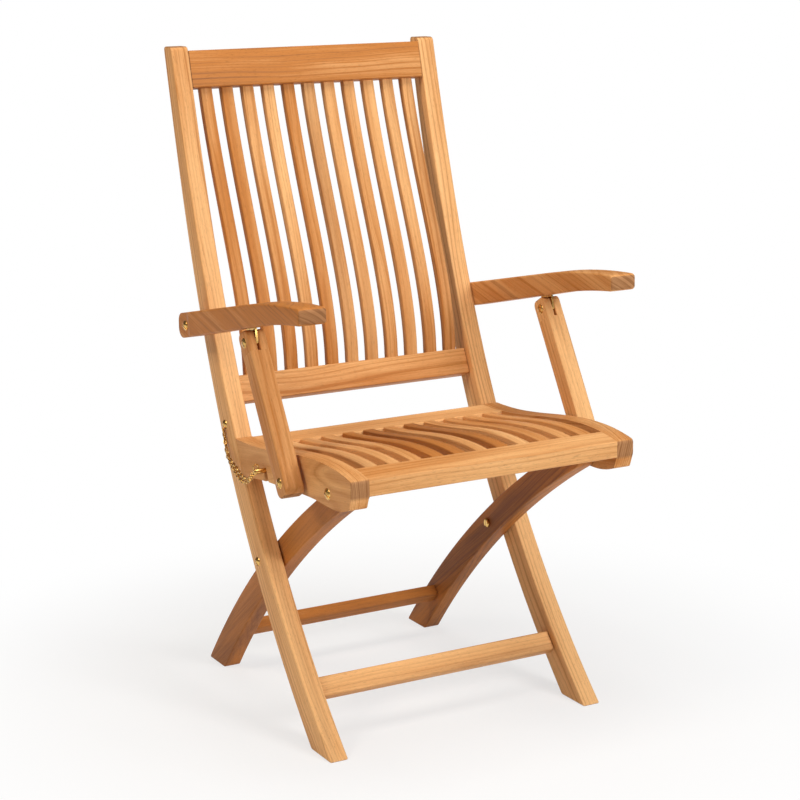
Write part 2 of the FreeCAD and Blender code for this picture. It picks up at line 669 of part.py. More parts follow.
def bracket():
    """Right arm bracket: a plate let in flush under the arm, and a round-ended blade."""
    angle = BRACKET_SLOPE + math.pi
    foot = (STRUT_TOP_Y, arm_under(STRUT_TOP_Y))
    normal = (math.sin(angle), -math.cos(angle))
    depth = BRACKET_PLATE_THICKNESS
    drop = (foot[1] - STRUT_TOP_Z) * math.cos(angle)
    top = (STRUT_TOP_Y - drop * normal[0], STRUT_TOP_Z - drop * normal[1])
    middle = (top[0] - normal[0] * depth / 2, top[1] - normal[1] * depth / 2)
    plate = leaning_box(middle, -angle, depth, BRACKET_PLATE_LENGTH, BRACKET_PLATE_WIDTH / 2)
    plate.translate(Vec(STRUT_MIDDLE_X, 0, 0))
    down = RECESS_REACH / 2 - depth
    open_end = (top[0] + normal[0] * down, top[1] + normal[1] * down)
    recess = leaning_box(open_end, -angle, RECESS_REACH, BRACKET_PLATE_LENGTH, BRACKET_PLATE_WIDTH / 2)
    recess.translate(Vec(STRUT_MIDDLE_X, 0, 0))
    half = BLADE_WIDTH / 2
    along = (math.cos(angle), math.sin(angle))
    tip = BLADE_TIP_SHARE

    def blade_place(side, down):
        y = STRUT_TOP_Y + half * (side * along[0] + down * normal[0])
        return y, STRUT_TOP_Z + half * (side * along[1] + down * normal[1])

    root = [(middle[0] + side * half * along[0], middle[1] + side * half * along[1]) for side in (-1, 1)]
    tips = [blade_place(1, tip), blade_place(tip, 1), blade_place(-tip, 1), blade_place(-1, tip)]
    edges = straight(*root, *tips, root[0])
    blade = board(edges, STRUT_MIDDLE_X - BLADE_THICKNESS / 2, STRUT_MIDDLE_X + BLADE_THICKNESS / 2)
    solid = plate.fuse(blade).removeSplitter()
    return solid.cut(bolt_hole(STRUT_TOP_Y, STRUT_TOP_Z, BOLT_RADIUS + BOLT_CLEARANCE)), recess


def strut():
    """Right strut: slotted at the top for the blade, rounded at both ends."""
    length = math.hypot(STRUT_TOP_Y - STRUT_FOOT_Y, STRUT_TOP_Z - STRUT_FOOT_Z)
    angle = math.atan2(STRUT_TOP_Y - STRUT_FOOT_Y, STRUT_TOP_Z - STRUT_FOOT_Z)
    corner = Vec(STRUT_INNER, -STRUT_WIDTH / 2, -STRUT_FOOT_REACH)
    solid = Part.makeBox(STRUT_THICKNESS, STRUT_WIDTH, length + STRUT_FOOT_REACH + STRUT_TOP_REACH, corner)
    half = STRUT_WIDTH / 2
    top = length + STRUT_TOP_REACH
    corners = (
        (-half, top, STRUT_TOP_ROUND),
        (half, top, STRUT_TOP_ROUND),
        (-half, -STRUT_FOOT_REACH, STRUT_FOOT_ROUND),
        (half, -STRUT_FOOT_REACH, STRUT_FOOT_ROUND),
    )
    solid = round_corners(solid, corners)
    slot_width = BLADE_THICKNESS + 2 * BLADE_CLEARANCE
    slot_low = Vec(STRUT_MIDDLE_X - slot_width / 2, -STRUT_WIDTH, length - STRUT_SLOT_DEPTH)
    solid = solid.cut(Part.makeBox(slot_width, 2 * STRUT_WIDTH, STRUT_SLOT_DEPTH + CUTTER_REACH, slot_low))
    solid.rotate(Vec(0, 0, 0), Vec(1, 0, 0), -math.degrees(angle))
    solid.translate(Vec(0, STRUT_FOOT_Y, STRUT_FOOT_Z))
    solid = solid.cut(bolt_hole(STRUT_TOP_Y, STRUT_TOP_Z, BOLT_RADIUS))
    return solid.cut(bolt_hole(STRUT_FOOT_Y, STRUT_FOOT_Z, BOLT_RADIUS))


# Fasteners

def head(x, y, z, radius):
    """Head on a face that looks outwards, bevelled all round and drawn with twelve sides."""
    crown = x + HEAD_HEIGHT
    return bevelled(facetted(x, crown, y, z, radius, ROUND_SIDES), crown, HEAD_BEVEL)


def bolt(x_face, x_end, y, z, head_radius):
    """Bolt: head outside the face, shank inwards to its end."""
    return head(x_face, y, z, head_radius).fuse(rod(x_end, x_face, y, z, BOLT_RADIUS)).removeSplitter()


def washer(x_low, x_high, y, z):
    """Spacing ring with twelve sides about a round bore."""
    return facetted(x_low, x_high, y, z, WASHER_RADIUS, ROUND_SIDES).cut(bolt_hole(y, z, BOLT_RADIUS))


def nut(x_high, y, z):
    """Six-sided cap nut that covers the bolt's end on the inner face of a leg."""
    crown = x_high - NUT_HEIGHT
    return bevelled(facetted(crown, x_high, y, z, NUT_RADIUS, HEXAGON_SIDES), crown, NUT_BEVEL)


def through_bolt(x_face, y, z, head_radius):
    """Bolt right through to the inner face of a rear leg, where its nut sits."""
    return bolt(x_face, LEG_INNER - SIDE_CLEARANCE, y, z, head_radius)


def lock_plate():
    """Right lock plate: screwed to the stile's inner face, it reaches forward to the pin."""
    root_z = LOCK_PIN_Z - LOCK_PLATE_DROP
    root_y = stile_front(root_z) + LOCK_PLATE_ROOT_SHARE * stile_width(root_z)
    slope = math.atan2(root_z - LOCK_PIN_Z, root_y - LOCK_PIN_Y)
    half = LOCK_PLATE_HALF_HEIGHT
    way = (half * math.cos(slope), half * math.sin(slope))

    def place(middle, along, across):
        return middle[0] + along * way[0] - across * way[1], middle[1] + along * way[1] + across * way[0]

    cut = LOCK_PLATE_CORNER_SHARE
    pin = (LOCK_PIN_Y, LOCK_PIN_Z)
    root = (root_y, root_z)
    rear = [place(root, cut, -1), place(root, 1, -cut), place(root, 1, cut), place(root, cut, 1)]
    front = [place(pin, -cut, 1), place(pin, -1, cut), place(pin, -1, -cut), place(pin, -cut, -1)]
    edges = straight(*rear, *front, rear[0])
    plate = board(edges, STILE_INNER - LOCK_PLATE_THICKNESS, STILE_INNER)
    return plate.cut(bolt_hole(LOCK_PIN_Y, LOCK_PIN_Z, LOCK_PIN_RADIUS + BOLT_CLEARANCE)), (root_y, root_z)


def plate_screws(root):
    """Two flush screws that hold the lock plate to the stile, drawn with six sides."""
    y, z = root
    inner = STILE_INNER - LOCK_PLATE_THICKNESS
    end = STILE_INNER + PLATE_SCREW_LENGTH
    places = (y - PLATE_SCREW_SPREAD, y + PLATE_SCREW_SPREAD)
    return [facetted(inner, end, place, z, PLATE_SCREW_RADIUS, HEXAGON_SIDES) for place in places]


def lock_pin():
    """Right lock pin with a round end and the eye that the chain hangs from."""
    x_end = HALF_WIDTH + LOCK_PIN_REACH
    x_start = STILE_INNER - LOCK_PLATE_THICKNESS
    pin = rod(x_start, x_end, LOCK_PIN_Y, LOCK_PIN_Z, LOCK_PIN_RADIUS)
    return pin.fuse(pin_eye(x_end - EYE_SETBACK)).removeSplitter()


def pin_eye(x):
    """Six-sided ring of wire that stands on the lock pin."""
    z = LOCK_PIN_Z + LOCK_PIN_RADIUS + EYE_RADIUS - EYE_SINK

    def face(radius):
        corners = [Vec(a, LOCK_PIN_Y - EYE_WIRE, b) for a, b in corners_about(x, z, radius, 6)]
        return Part.Face(Part.makePolygon(corners))

    return face(EYE_RADIUS + EYE_WIRE).cut(face(EYE_RADIUS - EYE_WIRE)).extrude(Vec(0, 2 * EYE_WIRE, 0))


def link(centre, way, turned):
    """Chain link: a flat ring with pointed ends and a square eye, lying along the way given."""
    half = (LINK_LENGTH - LINK_WIDTH) / 2
    outer = LINK_WIDTH / 2
    inner = outer - LINK_WIRE
    corners = [Vec(-half, outer, 0), Vec(half, outer, 0), Vec(half + outer, 0, 0)]
    corners += [Vec(half, -outer, 0), Vec(-half, -outer, 0), Vec(-half - outer, 0, 0)]
    hole = Part.makePlane(2 * (half + inner), 2 * inner, Vec(-half - inner, -inner, 0))
    flat = Part.Face(Part.makePolygon(corners + corners[:1])).cut(hole)
    solid = flat.extrude(Vec(0, 0, LINK_WIRE))
    solid.translate(Vec(0, 0, -LINK_WIRE / 2))
    if turned:
        solid.rotate(Vec(0, 0, 0), Vec(1, 0, 0), 90)
    turn = FreeCAD.Rotation(Vec(1, 0, 0), way)
    solid.Placement = FreeCAD.Placement(centre, turn).multiply(solid.Placement)
    return solid


def chain_place(share):
    """Place on the hanging chain, from its screw at 0 to the lock pin at 1."""
    start = Vec(HALF_WIDTH + CHAIN_START_GAP, CHAIN_SCREW_Y, CHAIN_SCREW_Z - CHAIN_START_DROP)
    end = Vec(HALF_WIDTH + CHAIN_END_GAP, LOCK_PIN_Y + CHAIN_END_SETBACK, LOCK_PIN_Z - CHAIN_END_DROP)
    sag = CHAIN_SAG * math.sin(math.pi * share ** CHAIN_SKEW) ** 0.75
    return start + (end - start) * share - Vec(0, 0, sag)


def chain():
    """Links along the hanging curve at one pitch, every second one turned on its edge."""
    curve = Part.BSplineCurve()
    curve.interpolate([chain_place(share) for share in stations(0.0, 1.0, 8)[:-1]] + [chain_place(0.999)])
    path = curve.toShape()
    pitch = LINK_LENGTH - 2 * LINK_WIRE - LINK_PLAY
    count = int(path.Length // pitch)
    links = []
    for i in range(count):
        at = curve.parameterAtDistance((i + 0.5) * path.Length / count, curve.FirstParameter)
        links.append(link(curve.value(at), Vec(*curve.tangent(at)[0]), i % 2))
    return links


# The whole chair, as one list of solids for each node

def chair():
    nodes = {}

    def both(name, shape):
        nodes[name + "_right"] = [shape]
        nodes[name + "_left"] = [mirrored(shape)]

    def pair(name, shapes):
        nodes[name] = shapes + [mirrored(s) for s in shapes]

    top_rail, top_mortises = stile_rail(TOP_RAIL_LOW, TOP_RAIL_HEIGHT, TOP_RAIL_RECESS, TOP_RAIL_THICKNESS)
    lower_rail, lower_mortises = stile_rail(
        LOWER_RAIL_LOW, LOWER_RAIL_HEIGHT, LOWER_RAIL_RECESS, LOWER_RAIL_THICKNESS)
    middle = FRONT_STRETCHER_LOW + FRONT_STRETCHER_HEIGHT / 2
    centred = (stile_width(middle) - STRETCHER_THICKNESS) / 2
    stretcher, stretcher_mortises = stile_rail(
        FRONT_STRETCHER_LOW, FRONT_STRETCHER_HEIGHT, centred, STRETCHER_THICKNESS)
    plate, root = lock_plate()
    screws = plate_screws(root)

    side = stile()
    side = side.cut([top_mortises, lower_mortises, stretcher_mortises] + screws)
    side = side.cut(bolt_hole(LEG_PIVOT_Y, LEG_PIVOT_Z, BOLT_RADIUS))
    screw_end = STILE_INNER + SCREW_END_COVER
    both("stile", side.cut(rod(screw_end, HALF_WIDTH, ARM_PIVOT_Y, ARM_PIVOT_Z, BOLT_RADIUS)))

    slats = [back_slat(i) for i in range(SLAT_COUNT)]
    nodes["top_rail"] = [top_rail.cut(slats)]
    nodes["lower_rail"] = [lower_rail.cut(slats)]
    nodes["front_stretcher"] = [stretcher]
    for i, slat in enumerate(slats):
        nodes[f"back_slat_{i + 1}"] = [slat]

    leg_rail, leg_mortises = rear_stretcher()
    both("rear_leg", rear_leg().cut(leg_mortises))
    nodes["rear_stretcher"] = [leg_rail]

    front_rail, front_mortises = seat_cross_rail(SLAT_FRONT_Y, SEAT_NOSE_Y, FRONT_RAIL_THICKNESS)
    rear_rail, rear_mortises = seat_cross_rail(
        SEAT_REAR_Y, SLAT_REAR_Y, REAR_RAIL_THICKNESS, [beyond_rear_end()])
    both("seat_side_rail", seat_side_rail().cut([front_mortises, rear_mortises]))
    nodes["seat_front_rail"] = [front_rail.cut(slat_mortises(SLAT_FRONT_Y, -1))]
    nodes["seat_rear_rail"] = [rear_rail.cut(slat_mortises(SLAT_REAR_Y, 1))]
    for i in range(SLAT_COUNT):
        nodes[f"seat_slat_{i + 1}"] = [seat_slat(i)]

    arm_bracket, plate_recess = bracket()
    both("arm", arm().cut(plate_recess))
    both("arm_bracket", arm_bracket)
    both("strut", strut())

    pin_ends = (STRUT_INNER + PIN_SINK, STRUT_OUTER - PIN_SINK)
    both("strut_top_pin", rod(*pin_ends, STRUT_TOP_Y, STRUT_TOP_Z, BOLT_RADIUS))
    foot = (STRUT_FOOT_Y, STRUT_FOOT_Z)
    foot_end = HALF_WIDTH + STRUT_FOOT_PLAY
    collar = facetted(foot_end, STRUT_INNER, *foot, WASHER_RADIUS, ROUND_SIDES)
    foot_bolt = bolt(STRUT_OUTER, foot_end, *foot, STRUT_HEAD_RADIUS)
    both("strut_foot_bolt", foot_bolt.fuse(collar).removeSplitter())
    pair("strut_foot_inserts", [strut_foot_insert()])

    pair("leg_pivot_bolts", [through_bolt(HALF_WIDTH, LEG_PIVOT_Y, LEG_PIVOT_Z, LEG_HEAD_RADIUS)])
    pair("seat_pivot_bolts", [through_bolt(HALF_WIDTH, SEAT_PIVOT_Y, SEAT_PIVOT_Z, SEAT_HEAD_RADIUS)])
    pair("leg_pivot_nuts", [nut(LEG_INNER - SIDE_CLEARANCE, LEG_PIVOT_Y, LEG_PIVOT_Z)])
    pair("seat_pivot_nuts", [nut(LEG_INNER - SIDE_CLEARANCE, SEAT_PIVOT_Y, SEAT_PIVOT_Z)])
    spacer = (LEG_OUTER + SIDE_CLEARANCE, STILE_INNER)
    pair("leg_pivot_spacers", [washer(*spacer, LEG_PIVOT_Y, LEG_PIVOT_Z)])
    pair("seat_pivot_spacers", [washer(spacer[0], SEAT_RAIL_INNER, SEAT_PIVOT_Y, SEAT_PIVOT_Z)])
    arm_face = ARM_OUTER - ARM_PARE_DEPTH + ARM_HEAD_STANDOFF
    pair("arm_pivot_bolts", [bolt(arm_face, screw_end, ARM_PIVOT_Y, ARM_PIVOT_Z, ARM_HEAD_RADIUS)])
    pair("arm_washers", [washer(HALF_WIDTH, ARM_INNER - WASHER_PLAY, ARM_PIVOT_Y, ARM_PIVOT_Z)])

    pair("lock_plates", [plate.cut(screws)])
    pair("lock_plate_screws", screws)
    both("lock_pin", lock_pin())
    pair("chain_screws", [head(HALF_WIDTH, CHAIN_SCREW_Y, CHAIN_SCREW_Z, LEG_HEAD_RADIUS)])
    both("safety_chain", Part.makeCompound(chain()))
    return nodes


def main():
    os.makedirs("parts", exist_ok=True)
    for name, solids in chair().items():
        shape = solids[0] if len(solids) == 1 else Part.makeCompound(solids)
        shape.exportStep(f"parts/{name}.step")


if __name__ == "__main__":
    main()
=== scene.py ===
import math

import bpy
import numpy as np
from mathutils import Matrix, Vector


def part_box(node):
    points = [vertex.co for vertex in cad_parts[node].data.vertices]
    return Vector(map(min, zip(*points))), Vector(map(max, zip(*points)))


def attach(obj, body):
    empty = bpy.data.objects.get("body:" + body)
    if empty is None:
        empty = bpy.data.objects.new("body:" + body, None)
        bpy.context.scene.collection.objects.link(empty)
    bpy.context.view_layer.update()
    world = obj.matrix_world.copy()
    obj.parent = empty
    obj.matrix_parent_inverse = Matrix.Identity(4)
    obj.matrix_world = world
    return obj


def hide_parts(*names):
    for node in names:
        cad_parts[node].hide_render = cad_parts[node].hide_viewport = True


bl_info = {
    "name": "Folding teak armchair",
    "version": (1, 0, 0),
    "blender": (4, 5, 0),
    "location": "3D View > Sidebar > Armchair",
    "description": "Dresses the packed frame of a folding slatted armchair in oiled teak and dull brass",
    "category": "Object",
}

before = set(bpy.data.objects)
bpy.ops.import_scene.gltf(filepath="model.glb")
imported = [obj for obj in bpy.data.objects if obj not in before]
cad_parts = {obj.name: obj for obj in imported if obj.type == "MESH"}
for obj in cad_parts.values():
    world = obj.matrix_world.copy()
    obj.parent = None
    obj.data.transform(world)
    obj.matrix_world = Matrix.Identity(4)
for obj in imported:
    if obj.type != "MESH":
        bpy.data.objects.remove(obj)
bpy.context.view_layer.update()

# The outlines of the boards are written in millimetres, as on the drawing
MM = 0.001

# Stiles: the front edge leans less and less on the way up
STILE_HEIGHT = 1029.5
STILE_FOOT_Y = -231.5
LEAN_FOOT = 45.7
LEAN_TOP = 14.1
LEAN_POWER = 1.7
STILE_FOOT_WIDTH = 46.6
STILE_TOP_WIDTH = 29.6
TAPER_START = 403.0

# Rails between the stiles, as (low, high, recess, thickness)
TOP_RAIL = (965.5, 1023.5, 0.6, 23.0)
LOWER_RAIL = (485.0, 524.5, 12.0, 26.0)
FRONT_STRETCHER = (80.5, 104.5, 13.8, 19.0)

# Back slats
BACK_SLAT_THICKNESS = 13.5
RECESS_TOP = 10.0
RECESS_LOW = 14.0
BELLY = 23.5
BELLY_HEIGHT = 655.0
BELLY_POWER = 1.5
BACK_SLATS = 11
BACK_LET_IN = 4.0

# Rear legs
LEG_PIVOT = (10.2, 249.2)
SEAT_PIVOT = (-238.1, 416.5)
LEG_RADIUS = 1712.0
LEG_TOP_WIDTH = 39.0
LEG_FOOT_WIDTH = 49.0
LEG_LENGTH = 678.42
REAR_STRETCHER = (553.0, 25.0, 19.0)

# Seat
SEAT_REAR_HEIGHT = 432.0
SEAT_RISE = 27.5
SEAT_DIP_Y = 60.0
SEAT_CREST_Y = -232.0
SEAT_NOSE_Y = -313.5
SEAT_NOSE_DROP = 8.5
SEAT_SLAT_THICKNESS = 18.0
SEAT_LET_IN = 3.0
FRONT_RAIL = (45.0, 26.0)
REAR_RAIL = (62.0, 22.0)

# Arms and struts; the arms' outlines start at the rear end and are measured from the pivot
ARM_PIVOT = (173.0, 601.5)
ARM_TOP = ((27.0, 15.5), (-243.0, 70.3), (-338.0, 84.6), (-424.0, 90.5))
ARM_UNDER = ((27.0, -25.5), (-263.0, 39.4), (-343.0, 55.5), (-424.0, 65.7))
ARM_PARE = (29.0, 20.0, 6.0)
STRUT_TOP = (-44.1, 608.8)
STRUT_FOOT = (-154.4, 418.3)
STRUT_WIDTH = 33.0
STRUT_REACH = (22.2, 17.0)
STRUT_SLOT = (18.0, 4.3)
BRACKET_PLATE = (46.0, 18.0, 2.5)
BLADE = (30.0, 3.5, 8.0)

# Roundings of the boards' ends: stiles and legs at foot and top, arms at rear and front
STILE_ENDS = {"start": (4.0, 5.0), "end": (7.0, 7.0)}
STILE_LEVEL = (90.0, 40.0)
LEG_FOOT_ENDS = (5.0, 5.0)
LEG_LEVEL = 0.16
ARM_ENDS = {"start": (12.0, 20.0), "end": (7.0, 7.0)}
STRUT_FOOT_ENDS = (13.0, 13.0)
STRUT_TOP_ENDS = (10.0, 10.0)

# Heads of bolts and screws: CAD node, body, place in side view, radius and turn of the slot in degrees
HEADS = (
    ("leg_pivot_bolts", "back_frame", LEG_PIVOT, 7.5, 35),
    ("seat_pivot_bolts", "seat", SEAT_PIVOT, 9.0, 70),
    ("chain_screws", "back_frame", (119.7, 446.8), 7.5, 20),
    ("arm_pivot_bolts", "back_frame", ARM_PIVOT, 8.0, 55),
)
HEAD_HEIGHT = 3.6

# Heads of the struts' foot bolts and top pins: radius, height, turn of the slot and distance in from the node's end
FOOT_HEAD = (8.5, HEAD_HEIGHT, 15, HEAD_HEIGHT)
TOP_PIN_HEAD = (8.0, 2.6, 40, -1.0)
HEAD_SINK = 0.4
SLOT_WIDTH = 1.5
SLOT_DEPTH = 1.3
SLOT_WALL = 0.02
SLOT_FLOOR = 0.15

# Lock pins: distances from the inner and the outer end with the radii there; the eye's distance from the outer end,
# height above the pin, radius and wire
LOCK_PIN = (-27.0, 404.5)
PIN_INNER_END = ((0.0, 3.4), (0.6, 4.0))
PIN_OUTER_END = ((2.4, 4.0), (1.2, 3.7), (0.4, 2.9), (0.0, 1.4))
PIN_EYE = (4.0, 7.0, 4.2, 1.1)

# Safety chain of the right side, two strands from the screw to the pin; a link's length, width, wire and pitch
CHAIN_STRANDS = (
    ((244, 117, 441), (245, 111.4, 423.7), (246.5, 101.4, 409.8), (248.5, 84, 398.6), (250, 58.5, 390.6),
     (253, 29.9, 384.1), (255.5, 5, 385.6), (257, -12, 394.5), (256, -22, 405)),
    ((243.5, 121, 440), (244, 110.6, 422), (246, 104, 407), (248, 84, 392), (250, 60.4, 381.8),
     (253, 34, 376.2), (256, 8, 379.5), (257.5, -12, 390), (256, -24, 402)),
)
CHAIN_LINK = (8.4, 6.0, 1.0, 6.1)

# Sides of the chair and the sign of their X
SIDES = {"left": -1, "right": 1}

# Tones of the boards from pale (0) to dark; a stile darkens on the way up, which is painted shade towards the top
# with a paler foot as painted light, and a back slat's follows its chance
BOARD_TONES_AND_PAINTED_LIGHT = {
    # The rear legs' dark tone is partly painted shade, from their place in the shade under the seat
    "stile_left": 0.16, "stile_right": -0.12, "rear_leg_left": 1.3, "rear_leg_right": 1.3,
    "top_rail": 1.0, "lower_rail": 0.58, "front_stretcher": 0.3, "rear_stretcher": 1.2,
    "seat_front_rail": 0.5, "seat_rear_rail": 0.25,
    # The right arm's paler tone is partly painted light, standing in for the light its shaded inner side lacks
    "arm_left": 0.95, "arm_right": 0.5, "strut_left": 0.7, "strut_right": 0.15,
}
SEAT_SLAT_TONES = (0.35, 0.45, 0.6, 1.05, 1.4, 0.6, 1.25, 0.5, 0.8, 0.45, 0.7)
SEAT_SIDE_TONE = 0.58
# Painted shade: how much darker a stile's tone grows from the foot to the top
STILE_UPWARD_PAINTED_SHADE = 0.24
BACK_SLAT_TONE = (0.4, 0.6)

# Grain: its run in side view through the sawn boards, and the arms' distance from the tree's middle in metres
LEG_GRAIN = (1.0, -0.75)
ARM_GRAIN = (-1.0, -0.25)
ARM_HEART = (0.004, 0.06)
PORE_COLOUR = (0.13, 0.055, 0.018, 1.0)
SAWN_COLOURS = ((0.40, 0.20, 0.092, 1.0), (0.235, 0.108, 0.046, 1.0))

# Lamps: place, aim, size and colour
WHITE = (1.0, 1.0, 1.0)
LAMPS = {
    "key": ((1.1, -3.4, 2.1), (0.0, 0.0, 0.45), 1.3, WHITE),
    "top": ((0.1, -0.4, 3.2), (0.0, 0.0, 0.4), 1.5, WHITE),
    "side": ((-2.3, -0.25, 2.5), (0.0, 0.0, 0.4), 1.0, (1.0, 0.88, 0.74)),
}
SKY_TINT = (1.0, 0.9, 0.8, 1.0)
FLOOR_REACH = 60.0

# Camera, fitted to the photograph: place, then yaw, pitch and roll in degrees
CAMERA_PLACE = (-1504.8, -2779.7, 1196.9)
CAMERA_TURN = (28.6, 12.773, -0.776)
CAMERA_LENS = 92.1


# Curves of the boards

HEIGHTS = np.linspace(0.0, STILE_HEIGHT, 800)
LEANS = np.radians(LEAN_TOP + (LEAN_FOOT - LEAN_TOP) * (1.0 - HEIGHTS / STILE_HEIGHT) ** LEAN_POWER)
SLOPES = np.tan((LEANS[1:] + LEANS[:-1]) / 2) * np.diff(HEIGHTS)
FRONTS = STILE_FOOT_Y + np.concatenate([[0.0], np.cumsum(SLOPES)])


def lean(z):
    """Lean of a stile's front edge from the vertical: a power law of the height left above."""
    return np.interp(z, HEIGHTS, LEANS)


def stile_front(z):
    """Y of the stiles' front edge: the tangent of the lean, summed up from the floor."""
    return np.interp(z, HEIGHTS, FRONTS)


def stile_width(z):
    """Constant up to the taper's start, then a straight line to the top."""
    share = np.clip((z - TAPER_START) / (STILE_HEIGHT - TAPER_START), 0.0, 1.0)
    return STILE_FOOT_WIDTH + (STILE_TOP_WIDTH - STILE_FOOT_WIDTH) * share


def behind_front(z, depth):
    """Side-view points this deep behind the stile's front edge, square to it."""
    return np.stack([stile_front(z) + depth * np.cos(lean(z)), z - depth * np.sin(lean(z))], axis=1)


def smooth_step(x):
    """Three x squared less two x cubed, held between 0 and 1."""
    x = np.clip(x, 0.0, 1.0)
    return x * x * (3 - 2 * x)


def seat_top(y):
    """Height of the seat: a cosine rise from the back to the crest, then a falling nose."""
    share = np.clip((SEAT_DIP_Y - y) / (SEAT_DIP_Y - SEAT_CREST_Y), 0.0, 1.0)
    fall = np.maximum(0.0, (SEAT_CREST_Y - y) / (SEAT_CREST_Y - SEAT_NOSE_Y))
    return SEAT_REAR_HEIGHT + SEAT_RISE * (1 - np.cos(np.pi * share)) / 2 - SEAT_NOSE_DROP * fall ** 2


def arm_line(places, count):
    """Outline of an arm: straight between the first two places, then the circle through the last three."""
    p = np.array(places) + np.array(ARM_PIVOT)
    across = p[2:] - p[1]
    centre = p[1] + np.linalg.solve(across, (across ** 2).sum(axis=1) / 2)
    radius = np.linalg.norm(p[1] - centre)
    first, last = (math.atan2(*(q - centre)[::-1]) for q in (p[1], p[3]))
    angle = np.linspace(first, last, count)
    arc = centre + radius * np.stack([np.cos(angle), np.sin(angle)], axis=1)
    share = np.linspace(0.0, 1.0, 250)[:-1, None]
    return np.concatenate([p[0] + (p[1] - p[0]) * share, arc])


def unit(vector):
    """The same direction with a length of one."""
    return vector / np.linalg.norm(vector, axis=-1, keepdims=True)


def run_of(points):
    """Distance of each point from the first, along the line through all of them."""
    return np.concatenate([[0.0], np.cumsum(np.linalg.norm(np.diff(points, axis=0), axis=1))])


def at_distances(at, run, rows):
    """Rows in space, interpolated at these distances of their run."""
    return np.stack([np.interp(at, run, rows[:, k]) for k in range(3)], axis=1)


def through(points, count):
    """Smooth curve through points in space: one cubic a coordinate and span, solved for equal bends at the knots."""
    p = np.array(points, float)
    t = run_of(p)
    n = len(p)
    h = np.diff(t)
    rows = np.eye(n)
    right = np.zeros(p.shape)
    for i in range(1, n - 1):
        rows[i, i - 1:i + 2] = h[i - 1], 2 * (h[i - 1] + h[i]), h[i]
        right[i] = 6 * ((p[i + 1] - p[i]) / h[i] - (p[i] - p[i - 1]) / h[i - 1])
    bend = np.linalg.solve(rows, right)
    at = np.linspace(0.0, t[-1], count)
    k = np.clip(np.searchsorted(t, at, side="right") - 1, 0, n - 2)
    a = ((t[k + 1] - at) / h[k])[:, None]
    b = 1 - a
    span = (h[k] ** 2)[:, None]
    return a * p[k] + b * p[k + 1] + ((a ** 3 - a) * bend[k] + (b ** 3 - b) * bend[k + 1]) * span / 6


def leg_arc(distance, side):
    """Points of the rear leg's upper (1) or lower (-1) edge: an arc about the leg's centre of bend."""
    low, high = np.array(LEG_PIVOT), np.array(SEAT_PIVOT)
    chord = low - high
    apothem = math.sqrt(LEG_RADIUS ** 2 - chord @ chord / 4)
    y, z = (low + high) / 2 + apothem * unit(chord)[::-1] * (1, -1)
    angle = math.atan2(high[1] - z, high[0] - y) - distance / LEG_RADIUS
    width = LEG_TOP_WIDTH + (LEG_FOOT_WIDTH - LEG_TOP_WIDTH) * distance / LEG_LENGTH
    radius = LEG_RADIUS + side * width / 2
    return np.stack([y + radius * np.cos(angle), z + radius * np.sin(angle)], axis=-1)


def to_floor(side):
    """Distance along the leg at which one of its edges meets the floor."""
    distance = np.linspace(0.5, 1.0, 400) * LEG_LENGTH
    return float(np.interp(0.0, -leg_arc(distance, side)[:, 1], distance))


# Mesh surfaces

def joined(parts):
    """Several (points, faces, grain, end) as one."""
    points, faces, grain, ends = zip(*parts)
    counts = np.cumsum([0, *map(len, points)]).tolist()
    faces = [tuple(i + count for i in face) for count, group in zip(counts, faces) for face in group]
    return np.concatenate(points), faces, np.concatenate(grain), np.concatenate(ends)


def grid_faces(rows, columns, round_rows=False, round_columns=False):
    """Quads of a grid of points numbered row by row; each way can close on itself."""
    number = np.arange(rows * columns).reshape(rows, columns)
    after = np.roll(number, -1, axis=1)
    quads = np.stack([number, after, np.roll(after, -1, axis=0), np.roll(number, -1, axis=0)], axis=-1)
    return quads[:rows if round_rows else -1, :columns if round_columns else -1].reshape(-1, 4)


def ring_faces(rows, columns):
    """Quads of a closed tube of rings, with a face over each end."""
    first = tuple(range(columns - 1, -1, -1))
    last = tuple(range((rows - 1) * columns, rows * columns))
    return [*grid_faces(rows, columns, round_columns=True).tolist(), first, last]


def outward(points, faces):
    """The same faces, turned over if the volume they enclose comes out negative."""
    volume = 0.0
    for face in faces:
        a = points[face[0]]
        for m, n in zip(face[1:], face[2:]):
            volume += float(np.dot(a, np.cross(points[m], points[n])))
    return faces if volume > 0 else [tuple(reversed(face)) for face in faces]


def plain(points, faces):
    """Closed surface without grain, its faces turned outwards."""
    return points, outward(points, faces), points * 0.0, np.zeros(len(points))


# Shares of the drawing-in at a board's ends; all are less than whole, so that no ring of points shrinks to a line
EDGE_DRAW = 0.97
SIDE_DRAW = 0.85
ARRIS_DRAW = 0.8
ARRIS_LIMIT = 0.49
STATION_GAP = 0.2


